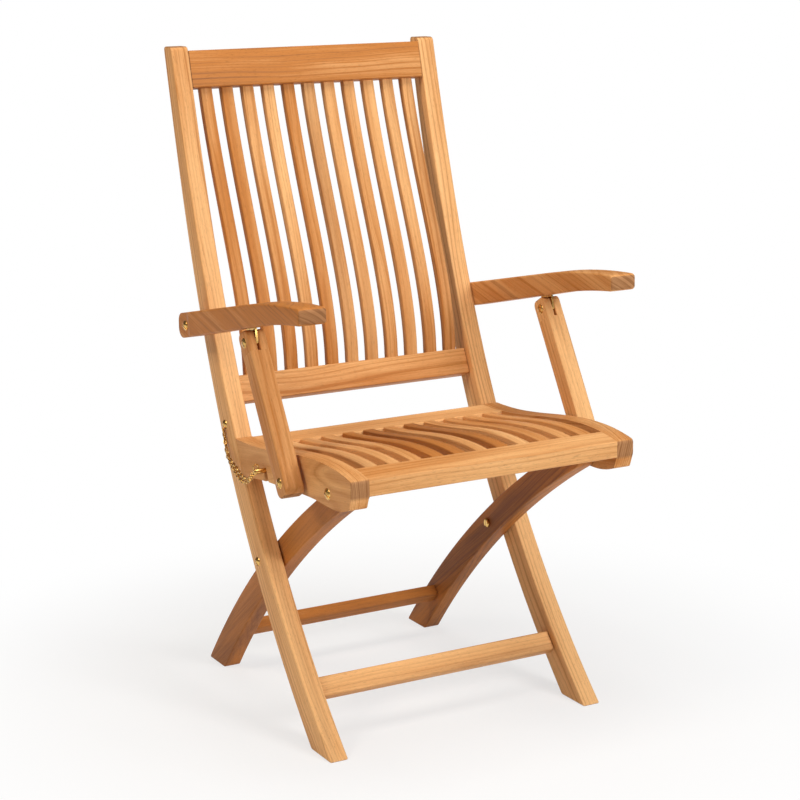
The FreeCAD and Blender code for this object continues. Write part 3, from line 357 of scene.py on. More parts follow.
def bar(corner, width, depth, arris, start=(0.0, 0.0), end=(0.0, 0.0), plank=None, cut=(1.0, 1.0)):
    """Board with rounded arrises.

    corner is one long edge, width and depth the vectors to the two edges beside it, one row for each station.
    Near an end each edge draws in on a quarter circle, with its own radius for the first and the second edge.
    The section is a rectangle whose corners are quarter circles of the arris.
    cut is 0 for an end that another surface carries on from, so that it stays full and square.
    """
    steps = np.linspace(0.0, np.pi / 2, 7)
    run = run_of(corner + (width + depth) / 2)
    length = run[-1]
    start = np.maximum(start, arris) * cut[0]
    end = np.maximum(end, arris) * cut[1]
    lead, tail = (np.unique(np.outer((arris * whole, radii.max()), 1 - np.cos(steps)))
                  for whole, radii in zip(cut, (start, end)))
    tail = length - tail[::-1]
    inner = run[(run > lead[-1] + STATION_GAP) & (run < tail[0] - STATION_GAP)]
    at = np.concatenate([lead, inner, tail])

    def drawn_in(radius, distance):
        gone = np.clip(radius - distance, 0.0, radius)
        return radius - np.sqrt(np.maximum(radius ** 2 - gone ** 2, 0.0))

    corner, width, depth = (at_distances(at, run, rows) for rows in (corner, width, depth))
    w, d = (np.linalg.norm(rows, axis=1, keepdims=True) for rows in (width, depth))
    near, far = at[:, None], length - at[:, None]
    low, high = (EDGE_DRAW * (drawn_in(start[i], near) + drawn_in(end[i], far)) for i in (0, 1))
    side = SIDE_DRAW * (cut[0] * drawn_in(arris, near) + cut[1] * drawn_in(arris, far))
    rho = np.minimum(arris - ARRIS_DRAW * side, ARRIS_LIMIT * np.minimum(w - low - high, d - 2 * side))
    quarter = np.linspace(0.0, np.pi / 2, 5)
    turn = np.concatenate([quarter + k * np.pi / 2 for k in (2, 3, 0, 1)])
    a = np.where(np.repeat([1, 0, 0, 1], 5), low + rho, w - high - rho) + rho * np.cos(turn)
    b = np.where(np.repeat([1, 1, 0, 0], 5), side + rho, d - side - rho) + rho * np.sin(turn)
    points = corner[:, None, :] + a[:, :, None] * (width / w)[:, None, :] + b[:, :, None] * (depth / d)[:, None, :]
    points = points.reshape(-1, 3)
    if plank is None:
        grain = np.stack([np.broadcast_to(near, a.shape), a - w / 2, b - d / 2], axis=2).reshape(-1, 3)
    else:
        grain = (points - points.mean(axis=0)) @ np.array(plank).T
    ends = np.zeros(a.shape)
    ends[at <= arris / 2] = cut[0]
    ends[length - at <= arris / 2] = cut[1]
    return points, outward(points, ring_faces(*a.shape)), grain, ends.reshape(-1)


def side_board(first, second, x_low, x_high, arris, **more):
    """Board between two side-view edges, from one plane across the chair to another."""
    n = len(first)
    corner = np.column_stack([np.full(n, x_low), first])
    width = np.column_stack([np.zeros(n), second - first])
    depth = np.tile([x_high - x_low, 0.0, 0.0], (n, 1))
    return bar(corner, width, depth, arris, **more)


def cross_board(low_front, up, back, half_length, arris):
    """Straight rail across the chair: height up the lean, thickness square to it."""
    n = 9
    corner = np.column_stack([np.linspace(-half_length, half_length, n), np.tile(low_front, (n, 1))])
    width, depth = (np.tile([0.0, *vector], (n, 1)) for vector in (up, back))
    return bar(corner, width, depth, arris)


def slab(outline, x_low, x_high):
    """Closed side-view outline swept across the chair between two planes."""
    n = len(outline)
    points = np.column_stack([np.repeat([x_low, x_high], n), np.tile(outline, (2, 1))])
    grain = points - np.array([0.0, *outline.mean(axis=0)])
    return points, outward(points, ring_faces(2, n)), grain, np.zeros(2 * n)


def edge(name):
    """An edge setting of the look, in millimetres."""
    return getattr(bpy.context.scene.armchair_look, name) / MM


def straight_plank(direction):
    """Rows along, across and through a plank whose grain runs this way in side view."""
    y, z = np.array(direction) / np.hypot(*direction)
    return ((0.0, y, z), (0.0, -z, y), (1.0, 0.0, 0.0))


def chances(name):
    """A row of fixed chances for a piece, from the letters of its name."""
    seed = sum((i + 1) * ord(c) for i, c in enumerate(name))
    return np.random.default_rng(seed).random(8)


def piece(name, body, material, surface, tone=None, replaces=(), heart=None):
    """Mesh object in metres at the origin, with its grain, tone, figure and end-grain attributes.

    heart is how far the tree's middle lies from the board's, across and through it, in metres.
    """
    points, faces, grain, ends = surface
    mesh = bpy.data.meshes.new(name)
    mesh.from_pydata((points * MM).tolist(), [], faces)
    mesh.shade_smooth()
    chance = chances(name)
    offset = np.array([chance[0] * 4.0, *(heart or (0.02 + 0.07 * chance[1], 0.015 + 0.05 * chance[2]))])
    rows = mesh.attributes.new("grain", "FLOAT_VECTOR", "POINT")
    rows.data.foreach_set("vector", (grain * MM + offset).astype(np.float32).reshape(-1))
    shade = chance[3] if tone is None else tone
    for label, values in (("tone", shade), ("figure", 0.35 + chance[4]), ("end_grain", ends)):
        rows = mesh.attributes.new(label, "FLOAT", "POINT")
        rows.data.foreach_set("value", np.full(len(points), values, np.float32))
    mesh.materials.append(material)
    mesh.set_sharp_from_angle(angle=math.radians(50))
    obj = bpy.data.objects.new(name, mesh)
    bpy.context.scene.collection.objects.link(obj)
    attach(obj, body)
    if replaces:
        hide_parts(*replaces)


def wooden(node, body, surface, tone=None, heart=None):
    """Teak piece that stands for the CAD node of the same name, in the node's listed tone unless one is given; the
    listed tones hold painted shade on the rear legs and painted light on the right arm.
    """
    shade = BOARD_TONES_AND_PAINTED_LIGHT[node] if tone is None else tone
    piece(node + "_board", body, teak(), surface, shade, (node,), heart)


def brass_piece(name, body, surface, node):
    """Brass piece that stands for a CAD node."""
    piece(name, body, brass(), surface, replaces=(node,))


def x_range(node):
    """Lowest and highest X of a CAD node, in millimetres."""
    low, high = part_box(node)
    return low[0] / MM, high[0] / MM


# Materials

def feed(tree, node, inputs):
    """Give each of a node's inputs its value, or link the output that feeds it."""
    for label, value in inputs.items():
        if isinstance(value, bpy.types.NodeSocket):
            tree.links.new(value, node.inputs[label])
        else:
            node.inputs[label].default_value = value


def node_of(tree, kind, inputs=None, **settings):
    """New shader node with its settings and inputs, set down in rows of eight."""
    row, column = divmod(len(tree.nodes), 8)
    node = tree.nodes.new(kind)
    node.location = (220 * column, -320 * row)
    for key, value in settings.items():
        setattr(node, key, value)
    feed(tree, node, inputs or {})
    return node


def math_of(tree, operation, *values):
    """Output of a math node over numbers or other outputs."""
    return node_of(tree, "ShaderNodeMath", dict(enumerate(values)), operation=operation).outputs[0]


def mixed(tree, share, first, second):
    """Output of a colour mix: the first colour at share 0, the second at 1."""
    inputs = {0: share, 6: first, 7: second}
    return node_of(tree, "ShaderNodeMix", inputs, data_type="RGBA", clamp_factor=True).outputs[2]


def mapped(tree, value, low, high, least=0.0, most=1.0, kind="LINEAR"):
    """Output of a map range: what lies between low and high comes out between least and most."""
    inputs = {"Value": value, "From Min": low, "From Max": high, "To Min": least, "To Max": most}
    return node_of(tree, "ShaderNodeMapRange", inputs, interpolation_type=kind).outputs["Result"]


def new_material(name):
    """New material with nodes: itself, its tree and its shader."""
    material = bpy.data.materials.new(name)
    material.use_nodes = True
    return material, material.node_tree, material.node_tree.nodes["Principled BSDF"]


def rgba(colour):
    """Colour of a property as four numbers."""
    return (*tuple(colour)[:3], 1.0)


def teak_grain():
    """Group: growth rings about the heart, patches, fibres and pores of teak, from coordinates along the board."""
    name = "teak_grain"
    if name in bpy.data.node_groups:
        return bpy.data.node_groups[name]
    tree = bpy.data.node_groups.new(name, "ShaderNodeTree")
    face = tree.interface
    face.new_socket("Grain", in_out="INPUT", socket_type="NodeSocketVector")
    for label, value in (("Tone", 0.5), ("End Grain", 0.0), ("Ring Width", 0.0030), ("Contrast", 1.0)):
        face.new_socket(label, in_out="INPUT", socket_type="NodeSocketFloat").default_value = value
    for label in ("Pale", "Deep", "Heart"):
        face.new_socket(label, in_out="INPUT", socket_type="NodeSocketColor")
    for label, kind in (("Color", "Color"), ("Roughness", "Float"), ("Height", "Float")):
        face.new_socket(label, in_out="OUTPUT", socket_type="NodeSocket" + kind)
    source = node_of(tree, "NodeGroupInput").outputs

    def add(a, b):
        return math_of(tree, "ADD", a, b)

    def times(a, b):
        return math_of(tree, "MULTIPLY", a, b)

    def stretched_noise(scale, detail, roughness):
        stretch = node_of(tree, "ShaderNodeMapping", {"Scale": scale, "Vector": source["Grain"]})
        inputs = {"Vector": stretch.outputs[0], "Scale": 1.0, "Detail": detail, "Roughness": roughness}
        return node_of(tree, "ShaderNodeTexNoise", inputs).outputs["Fac"]

    def ramp(value, low, high):
        return mapped(tree, value, low, high, kind="SMOOTHSTEP")

    # Growth rings: noise along the distance from the tree's middle, which wanders with the length
    split = node_of(tree, "ShaderNodeSeparateXYZ", {0: source["Grain"]}).outputs
    radius = math_of(tree, "SQRT", add(times(split[1], split[1]), times(split[2], split[2])))
    wander = stretched_noise((2.2, 9.0, 9.0), 2.0, 0.5)
    phase = math_of(tree, "DIVIDE", add(radius, times(wander, 0.030)), source["Ring Width"])
    inputs = {"W": phase, "Scale": 0.9, "Detail": 2.0, "Roughness": 0.6}
    lines = node_of(tree, "ShaderNodeTexNoise", inputs, noise_dimensions="1D").outputs["Fac"]
    rings = ramp(lines, 0.42, 0.72)

    # Patches, fibres, pores and bands of heartwood: noises drawn out along the grain
    drift = stretched_noise((2.4, 26.0, 26.0), 3.0, 0.55)
    fibres = stretched_noise((11.0, 420.0, 420.0), 4.0, 0.65)
    pores = ramp(stretched_noise((110.0, 1500.0, 1500.0), 1.0, 0.5), 0.60, 0.70)
    heart = ramp(stretched_noise((0.8, 24.0, 24.0), 2.0, 0.5), 0.58, 0.78)

    # Colour: pale to deep by the share, then heartwood, pores and the sawn ends
    figure = times(rings, source["Contrast"])
    fleck = add(fibres, -0.5)
    share = add(times(add(drift, -0.5), 1.8), times(fleck, 0.65))
    share = add(add(share, times(figure, 0.24)), source["Tone"])
    wood = mixed(tree, share, source["Pale"], source["Deep"])
    depth = add(times(heart, 0.30), times(figure, 0.12))
    wood = mixed(tree, add(depth, ramp(share, 1.0, 2.0)), wood, source["Heart"])
    wood = mixed(tree, times(pores, 0.28), wood, PORE_COLOUR)
    sawn = mixed(tree, ramp(lines, 0.34, 0.66), *SAWN_COLOURS)
    wood = mixed(tree, times(source["End Grain"], 0.8), wood, sawn)

    relief = add(add(times(fibres, 0.6), times(pores, -0.5)), times(rings, 0.2))
    dull = add(add(times(fleck, 0.30), 0.46), times(source["End Grain"], 0.18))
    node_of(tree, "NodeGroupOutput", {"Color": wood, "Roughness": dull, "Height": relief})
    return tree


def wood_material(name, ring_width, contrast):
    """Principled teak around the grain group; returns the material, its tree and the group's node."""
    look = bpy.context.scene.armchair_look
    material, tree, shader = new_material(name)
    inputs = {"Ring Width": ring_width, "Contrast": contrast,
              "Pale": rgba(look.pale), "Deep": rgba(look.deep), "Heart": rgba(look.heart)}
    grain = node_of(tree, "ShaderNodeGroup", inputs, node_tree=teak_grain())
    bump = node_of(tree, "ShaderNodeBump", {"Strength": 0.3, "Distance": 0.0006, "Height": grain.outputs["Height"]})
    feed(tree, shader, {"Base Color": grain.outputs["Color"], "Roughness": grain.outputs["Roughness"],
                        "Normal": bump.outputs["Normal"], "Specular IOR Level": 0.1})
    return material, tree, grain


def teak():
    """Teak of the boards, which carry their own grain, tone, figure and end-grain attributes; the tone also holds
    painted light and shade on the stiles, rear legs and right arm.
    """
    name = "oiled_teak"
    if name in bpy.data.materials:
        return bpy.data.materials[name]
    material, tree, grain = wood_material(name, 0.0038, 1.0)
    for label, attribute, output in (("Grain", "grain", "Vector"), ("Tone", "tone", "Fac"),
                                     ("End Grain", "end_grain", "Fac"), ("Contrast", "figure", "Fac")):
        reader = node_of(tree, "ShaderNodeAttribute", attribute_name=attribute)
        feed(tree, grain, {label: reader.outputs[output]})
    return material


def seat_rail_teak():
    """Teak of the seat's side rails: grain from back to front in the object's coordinates, end grain at the nose."""
    name = "seat_rail_teak"
    if name in bpy.data.materials:
        return bpy.data.materials[name]
    material, tree, grain = wood_material(name, 0.0024, 1.2)
    place = node_of(tree, "ShaderNodeTexCoord").outputs["Object"]
    turn = {"Vector": place, "Rotation": (math.radians(8), 0.0, math.radians(-90)), "Location": (0.0, 0.31, -0.36)}
    y = node_of(tree, "ShaderNodeSeparateXYZ", {0: place}).outputs[1]
    nose = mapped(tree, y, (SEAT_NOSE_Y + 3.0) * MM, (SEAT_NOSE_Y + 1.0) * MM)
    feed(tree, grain, {"Grain": node_of(tree, "ShaderNodeMapping", turn).outputs["Vector"], "End Grain": nose,
                       "Tone": SEAT_SIDE_TONE})
    return material


def brass():
    """Worn brass: warm gold with darker tarnish in patches and fine scratches."""
    name = "worn_brass"
    if name in bpy.data.materials:
        return bpy.data.materials[name]
    look = bpy.context.scene.armchair_look
    material, tree, shader = new_material(name)
    place = node_of(tree, "ShaderNodeTexCoord").outputs["Object"]
    patches = node_of(tree, "ShaderNodeTexNoise", {"Vector": place, "Scale": 260.0, "Detail": 3.0}).outputs["Fac"]
    scratches = node_of(tree, "ShaderNodeTexNoise", {"Vector": place, "Scale": 1400.0}).outputs["Fac"]
    share = mapped(tree, patches, 0.40, 0.75)
    dull = mapped(tree, scratches, 0.0, 1.0, 0.16, 0.34)
    feed(tree, shader, {"Base Color": mixed(tree, share, rgba(look.brass), rgba(look.tarnish)), "Roughness": dull,
                        "Metallic": 1.0})
    return material


# Hardware surfaces

def slotted_head(centre, outward_sign, radius, height, slot_angle):
    """Screw head: a ball cap over a disc laid out in lines beside its slot, which is cut to a flat floor.

    Height over the disc is the cap of a ball; within half the slot's width of the middle line it drops by the depth.
    """
    ball = (radius ** 2 + height ** 2) / (2 * height)
    slot = SLOT_WIDTH / 2
    flank = np.sin(np.linspace(0, np.pi / 2, 8))[1:] * (radius - slot) + slot
    u = np.concatenate([-flank[::-1], [-slot, -slot + SLOT_WALL, slot - SLOT_WALL, slot], flank])
    v = np.sin(np.linspace(-np.pi / 2, np.pi / 2, 15))
    rows, columns = len(u), len(v)
    uu = np.repeat(u, columns)
    vv = np.outer(np.sqrt(np.maximum(radius ** 2 - u ** 2, 0.0)), v).reshape(-1)
    top = np.sqrt(np.maximum(ball ** 2 - uu ** 2 - vv ** 2, 0.0)) - (ball - height)
    top = np.where(np.abs(uu) < slot - SLOT_WALL / 2, np.maximum(top - SLOT_DEPTH, SLOT_FLOOR), top)
    base = np.full_like(top, -HEAD_SINK)
    angle = math.radians(slot_angle)
    y = uu * math.cos(angle) - vv * math.sin(angle)
    z = uu * math.sin(angle) + vv * math.cos(angle)
    points = np.concatenate([np.stack([h * outward_sign, y, z], axis=1) for h in (top, base)]) + np.array(centre)
    size = rows * columns
    upper = grid_faces(rows, columns)
    lower = upper[:, ::-1] + size
    number = np.arange(size).reshape(rows, columns)
    rim = np.concatenate([number[:, 0], number[-1, 1:], number[-2::-1, -1], number[0, -2:0:-1]])
    after = np.roll(rim, -1)
    wall = np.stack([rim, after, after + size, rim + size], axis=-1)
    return plain(points, np.concatenate([upper, lower, wall]).tolist())


def heads(node, place, radius, height, angle, inset, ways=(-1, 1)):
    """Slotted heads this far in from the ends of a CAD node's range along X, each facing outwards."""
    ends = dict(zip((-1, 1), x_range(node)))
    return joined([slotted_head((ends[way] - way * inset, *place), way, radius, height, angle * way) for way in ways])


def turned(profile, centre, count=28):
    """Turned piece about a line along X: a profile of (x, radius) swung round in equal steps, with closed ends."""
    x, r = np.array(profile).T
    angle = np.linspace(0, 2 * np.pi, count, endpoint=False)
    points = np.stack([np.repeat(x, count), np.outer(r, np.cos(angle)).reshape(-1),
                       np.outer(r, np.sin(angle)).reshape(-1)], axis=1) + np.array(centre)
    return plain(points, ring_faces(len(x), count))


def oval(radius, wire, stretch, around, section):
    """Oval ring of round wire, a small circle on a stretched large one: shares along, across and out of its plane."""
    p = np.repeat(np.linspace(0, 2 * np.pi, around, endpoint=False), section)
    q = np.tile(np.linspace(0, 2 * np.pi, section, endpoint=False), around)
    reach = radius + wire * np.cos(q)
    return reach * np.cos(p) + stretch * np.sign(np.round(np.cos(p), 6)), reach * np.sin(p), wire * np.sin(q)


def hoop(centre, radius, wire, around=26, section=8):
    """Round ring of wire in the plane of X and Z."""
    x, z, y = oval(radius, wire, 0.0, around, section)
    return plain(np.stack([x, -y, z], axis=1) + np.array(centre), grid_faces(around, section, True, True).tolist())


def chain_links(route, length, width, wire, pitch, around=12, section=6):
    """Chain: one oval link of round wire set at equal steps along a smooth route.

    Each link is turned on by a right angle from the last, with a small sway that follows a sine.
    """
    path = through(route, 400)
    run = run_of(path)
    count = int(run[-1] / pitch)
    at = (np.arange(count) + 0.5) * run[-1] / count
    way = unit(at_distances(at + 1.0, run, path) - at_distances(at - 1.0, run, path))
    side = unit(np.cross(way, [1.0, 0.0, 0.0]))
    up = np.cross(way, side)
    twist = np.radians(45 + 90 * (np.arange(count) % 2) + 6 * np.sin(np.arange(count) * 1.7))[:, None]
    first = side * np.cos(twist) + up * np.sin(twist)
    second = np.cross(way, first)
    points = at_distances(at, run, path)[:, None, :]
    for share, axis in zip(oval(width / 2 - wire, wire, (length - width) / 2, around, section), (way, first, second)):
        points = points + share[None, :, None] * axis[:, None, :]
    one = grid_faces(around, section, True, True)
    faces = (one[None] + (np.arange(count) * around * section)[:, None, None]).reshape(-1, 4)
    return plain(points.reshape(-1, 3), faces.tolist())


# Boards and brackets with a form of their own

def seat_cross_rail(back, ahead, thickness, shift, reach, arris):
    """Rail across the seat whose section follows the seat's wave: a strip swept along X.

    The section is a closed outline of top, rounded front edge, underside and rounded back edge. Its lower back
    corner lies ahead of the upper one by the shift, as the stiles lean.
    """
    quarter = np.linspace(0.0, np.pi / 2, 5)
    y = np.linspace(back - arris, ahead + arris, 12)
    top = np.column_stack([y, seat_top(y)])
    under = top[::-1] - (0.0, thickness)
    under = under[under[:, 0] <= back - arris - shift]

    def corner(end, sign, shift):
        inner = end - sign * arris
        z = float(seat_top(inner))
        out, drop = sign * arris * np.sin(quarter), arris * (1 - np.cos(quarter))
        return np.column_stack([inner + out, z - drop]), np.column_stack([inner - shift + out, z - thickness + drop])

    front_high, front_low = corner(ahead, -1, 0.0)
    rear_high, rear_low = corner(back, 1, shift)
    outline = [top, front_high[1:], front_low[:0:-1], under, rear_low[1:], rear_high[-2:0:-1]]
    return slab(np.concatenate(outline), -reach, reach)


def bracket(middle):
    """Plate let in under the arm, and the blade below it with a tip that is round about the strut's pin."""
    rear, front = (np.array(ARM_PIVOT) + place for place in ARM_UNDER[:2])
    along = unit(front - rear)
    down = np.array([along[1], -along[0]]) * math.copysign(1.0, along[0])
    pin = np.array(STRUT_TOP)
    foot = rear + along * float((pin - rear) @ along)
    length, width, thickness = BRACKET_PLATE
    half, let_in = along * length / 2, down * thickness
    plate = np.array([foot - half, foot + half, foot + half - let_in, foot - half - let_in])
    angle = np.linspace(0.0, np.pi, 17)[:, None]
    wide, drop = along * BLADE[0] / 2, BLADE[2]
    tip = pin + wide * np.cos(angle) + down * drop * np.sin(angle)
    blade = np.concatenate([[foot - wide - down], tip[::-1], [foot + wide - down]])
    forms = ((plate, width), (blade, BLADE[1]))
    return joined([slab(form, middle - across / 2, middle + across / 2) for form, across in forms])


# Stage

def add_sky(scene, strength):
    """Even light in a warm tint for the chair, and plain white for the camera and through glass."""
    world = bpy.data.worlds.new("studio_sky")
    scene.world = world
    world.use_nodes = True
    tree = world.node_tree
    path = node_of(tree, "ShaderNodeLightPath").outputs
    seen = math_of(tree, "MAXIMUM", path["Is Camera Ray"], path["Is Transmission Ray"])
    level = mapped(tree, seen, 0.0, 1.0, strength)
    tint = mixed(tree, seen, SKY_TINT, (*WHITE, 1.0))
    feed(tree, tree.nodes["Background"], {"Color": tint, "Strength": level})


def add_floor(scene):
    """Floor sheet: diffuse near the chair, where it takes the shadow, and plain white to the camera farther off.

    Its lines lie at the cubes of even steps, so that they are close together under the chair.
    """
    n = 25
    x = np.linspace(-1.0, 1.0, n) ** 3 * FLOOR_REACH
    grid = np.column_stack([np.tile(x, n), np.repeat(x, n), np.zeros(n * n)])
    mesh = bpy.data.meshes.new("floor")
    mesh.from_pydata(grid.tolist(), [], grid_faces(n, n).tolist())
    floor = bpy.data.objects.new("floor", mesh)
    scene.collection.objects.link(floor)
    material, tree, shader = new_material("pale_floor")
    mesh.materials.append(material)
    feed(tree, shader, {"Base Color": (0.86, 0.86, 0.86, 1.0), "Roughness": 0.9, "Specular IOR Level": 0.1})
    white = node_of(tree, "ShaderNodeEmission")
    place = node_of(tree, "ShaderNodeTexCoord").outputs["Object"]
    distance = node_of(tree, "ShaderNodeVectorMath", {0: place}, operation="LENGTH").outputs["Value"]
    far = mapped(tree, distance, 0.3, 0.95, 0.68, kind="SMOOTHSTEP")
    path = node_of(tree, "ShaderNodeLightPath").outputs
    rays = math_of(tree, "MAXIMUM", path["Is Camera Ray"], path["Is Glossy Ray"])
    inputs = {0: math_of(tree, "MULTIPLY", rays, far), 1: shader.outputs[0], 2: white.outputs[0]}
    mix = node_of(tree, "ShaderNodeMixShader", inputs)
    feed(tree, tree.nodes["Material Output"], {"Surface": mix.outputs[0]})


def add_lamp(scene, name, place, aim, size, power, colour):
    """Square soft lamp turned towards a point."""
    data = bpy.data.lights.new(name, "AREA")
    data.energy = power
    data.color = colour
    data.size = size
    lamp = bpy.data.objects.new(name, data)
    scene.collection.objects.link(lamp)
    lamp.location = place
    lamp.rotation_euler = (Vector(aim) - Vector(place)).to_track_quat("-Z", "Y").to_euler()


def add_camera(scene, studio):
    """Camera looking down at the chair: a roll about its own axis, then its pitch, then the yaw about Z."""
    yaw, pitch, roll = np.radians(CAMERA_TURN).tolist()
    turns = ((-yaw, "Z"), (math.pi / 2 - pitch, "X"), (roll, "Z"))
    level, tilt, spin = (Matrix.Rotation(angle, 4, axis) for angle, axis in turns)
    data = bpy.data.cameras.new("camera")
    data.sensor_width = 36.0
    data.lens = studio.lens / MM
    data.clip_end = 200.0
    camera = bpy.data.objects.new("camera", data)
    scene.collection.objects.link(camera)
    camera.matrix_world = Matrix.Translation(Vector(CAMERA_PLACE) * MM) @ level @ tilt @ spin
    scene.camera = camera


# Properties

def colour_property(name, description, default):
    """Colour setting."""
    return bpy.props.FloatVectorProperty(name=name, description=description, default=default, size=3, subtype="COLOR",
                                         min=0.0, max=1.0)


def length_property(name, description, default, low, high):
    """Length setting, given in millimetres."""
    return bpy.props.FloatProperty(name=name, description=description, default=default * MM, min=low * MM,
                                   max=high * MM, unit="LENGTH")


def power_property(name, description, default):
    """Power setting of a lamp, in watts."""
    return bpy.props.FloatProperty(name=name, description=description, default=default, min=0.0, unit="POWER")


class ArmchairLook(bpy.types.PropertyGroup):
    """Colours and edges of the armchair"""

    pale: colour_property("Pale wood", "Colour between the growth rings", (0.90, 0.52, 0.225))
    deep: colour_property("Deep wood", "Colour of the growth rings and streaks", (0.53, 0.20, 0.047))
    heart: colour_property("Heartwood", "Colour of the darker boards and bands", (0.245, 0.098, 0.04))
    brass: colour_property("Brass", "Colour of the clean brass", (0.86, 0.53, 0.165))
    tarnish: colour_property("Tarnish", "Colour of the darkened brass", (0.28, 0.15, 0.045))
    arris: length_property("Edge rounding", "Radius of the boards' long edges", 2.4, 0.5, 4.0)
    slat_arris: length_property("Slat rounding", "Radius of the slats' long edges", 2.0, 0.5, 4.0)
    arm_arris: length_property("Arm rounding", "Radius of the arms' long edges", 3.2, 1.0, 8.0)


class ArmchairStudio(bpy.types.PropertyGroup):
    """Lamps and camera of the studio"""

    key: power_property("Key lamp", "Power of the large lamp in front", 88.0)
    top: power_property("Top lamp", "Power of the overhead lamp", 42.0)
    side: power_property("Side lamp", "Power of the high lamp at the left", 33.0)
    sky: bpy.props.FloatProperty(name="Sky", description="Strength of the even light from all sides", default=0.15,
                                 min=0.0)
    lens: bpy.props.FloatProperty(name="Lens", description="Focal length of the camera", default=CAMERA_LENS * MM,
                                  min=0.01, unit="LENGTH")


# Operators

class ARMCHAIR_OT_stiles(bpy.types.Operator):
    """The two bent back stiles"""

    bl_idname = "armchair.stiles"
    bl_label = "Stiles"

    def execute(self, context):
        z = np.linspace(0.0, STILE_HEIGHT, 60)
        front = np.column_stack([stile_front(z), z])
        square = smooth_step(z / STILE_LEVEL[0]) * smooth_step((STILE_HEIGHT - z) / STILE_LEVEL[1])
        low = z - square * stile_width(z) * np.sin(lean(z))
        rear = np.column_stack([stile_front(low) + stile_width(low) / np.cos(lean(low)), low])
        for side in SIDES:
            node = "stile_" + side
            surface = side_board(front, rear, *x_range(node), edge("arris"), **STILE_ENDS)
            points = surface[0]
            points[:, 1] = np.minimum(points[:, 1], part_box(node)[1][1] / MM)
            # Tone rising with height: painted shade towards the top of the stile, painted light at its paler foot
            wooden(node, "back_frame", surface, BOARD_TONES_AND_PAINTED_LIGHT[node] + STILE_UPWARD_PAINTED_SHADE * points[:, 2] / STILE_HEIGHT)
        return {"FINISHED"}


class ARMCHAIR_OT_rails(bpy.types.Operator):
    """The top rail, the lower back rail, the front stretcher and the rear stretcher"""

    bl_idname = "armchair.rails"
    bl_label = "Rails"

    def execute(self, context):
        arris = edge("slat_arris")
        reach = x_range("stile_right")[0]
        rails = {"top_rail": TOP_RAIL, "lower_rail": LOWER_RAIL, "front_stretcher": FRONT_STRETCHER}
        for node, (low, high, recess, thickness) in rails.items():
            z = (low + high) / 2
            angle = float(lean(z))
            height = (high - low) / math.cos(angle)
            up = np.array([math.sin(angle), math.cos(angle)])
            back = np.array([up[1], -up[0]])
            middle = np.array([float(stile_front(z)), z]) + recess * back
            surface = cross_board(middle - up * height / 2, up * height, back * thickness, reach, arris)
            wooden(node, "back_frame", surface)
        distance, height, thickness = REAR_STRETCHER
        upper, lower = (leg_arc(distance, side) for side in (1, -1))
        out = unit(upper - lower)
        up = np.array([-out[1], out[0]])
        low_front = (upper + lower) / 2 - up * height / 2 - out * thickness / 2
        surface = cross_board(low_front, up * height, out * thickness, x_range("rear_leg_right")[0], arris)
        wooden("rear_stretcher", "rear_legs", surface)
        return {"FINISHED"}


class ARMCHAIR_OT_back_slats(bpy.types.Operator):
    """The eleven bent slats of the back"""

    bl_idname = "armchair.back_slats"
    bl_label = "Back slats"

    def execute(self, context):
        low, high = LOWER_RAIL[1], TOP_RAIL[0]
        z = np.linspace(low - BACK_LET_IN, high + BACK_LET_IN, 40)
        share = np.clip((z - low) / (high - low), 0.0, 1.0)
        bend = math.log(0.5) / math.log((BELLY_HEIGHT - low) / (high - low))
        depth = RECESS_LOW + (RECESS_TOP - RECESS_LOW) * share
        depth = depth - BELLY * np.sin(np.pi * share ** bend) ** BELLY_POWER
        front = behind_front(z, depth)
        rear = behind_front(z, depth + BACK_SLAT_THICKNESS)
        least, spread = BACK_SLAT_TONE
        for i in range(BACK_SLATS):
            node = f"back_slat_{i + 1}"
            board = side_board(front, rear, *x_range(node), edge("slat_arris"))
            wooden(node, "back_frame", board, least + spread * chances(node)[3])
        return {"FINISHED"}


class ARMCHAIR_OT_rear_legs(bpy.types.Operator):
    """The two bent rear legs, round at the seat pivot and cut level at the floor"""

    bl_idname = "armchair.rear_legs"
    bl_label = "Rear legs"

    def execute(self, context):
        share = np.linspace(0.0, 1.0, 50)
        mean = (to_floor(1) + to_floor(-1)) / 2
        half = LEG_TOP_WIDTH / 2
        edges = []
        for side in (1, -1):
            distance = share * mean + (to_floor(side) - mean) * smooth_step((share - 1 + LEG_LEVEL) / LEG_LEVEL)
            points = leg_arc(distance, side)
            beyond = leg_arc(0.0, side) - leg_arc(1.0, side)
            edges.append(np.concatenate([[points[0] + beyond * half], points]))
        for side in SIDES:
            node = "rear_leg_" + side
            surface = side_board(*edges, *x_range(node), edge("arris"), start=(half, half), end=LEG_FOOT_ENDS,
                                 plank=straight_plank(LEG_GRAIN))
            wooden(node, "rear_legs", surface)
        return {"FINISHED"}


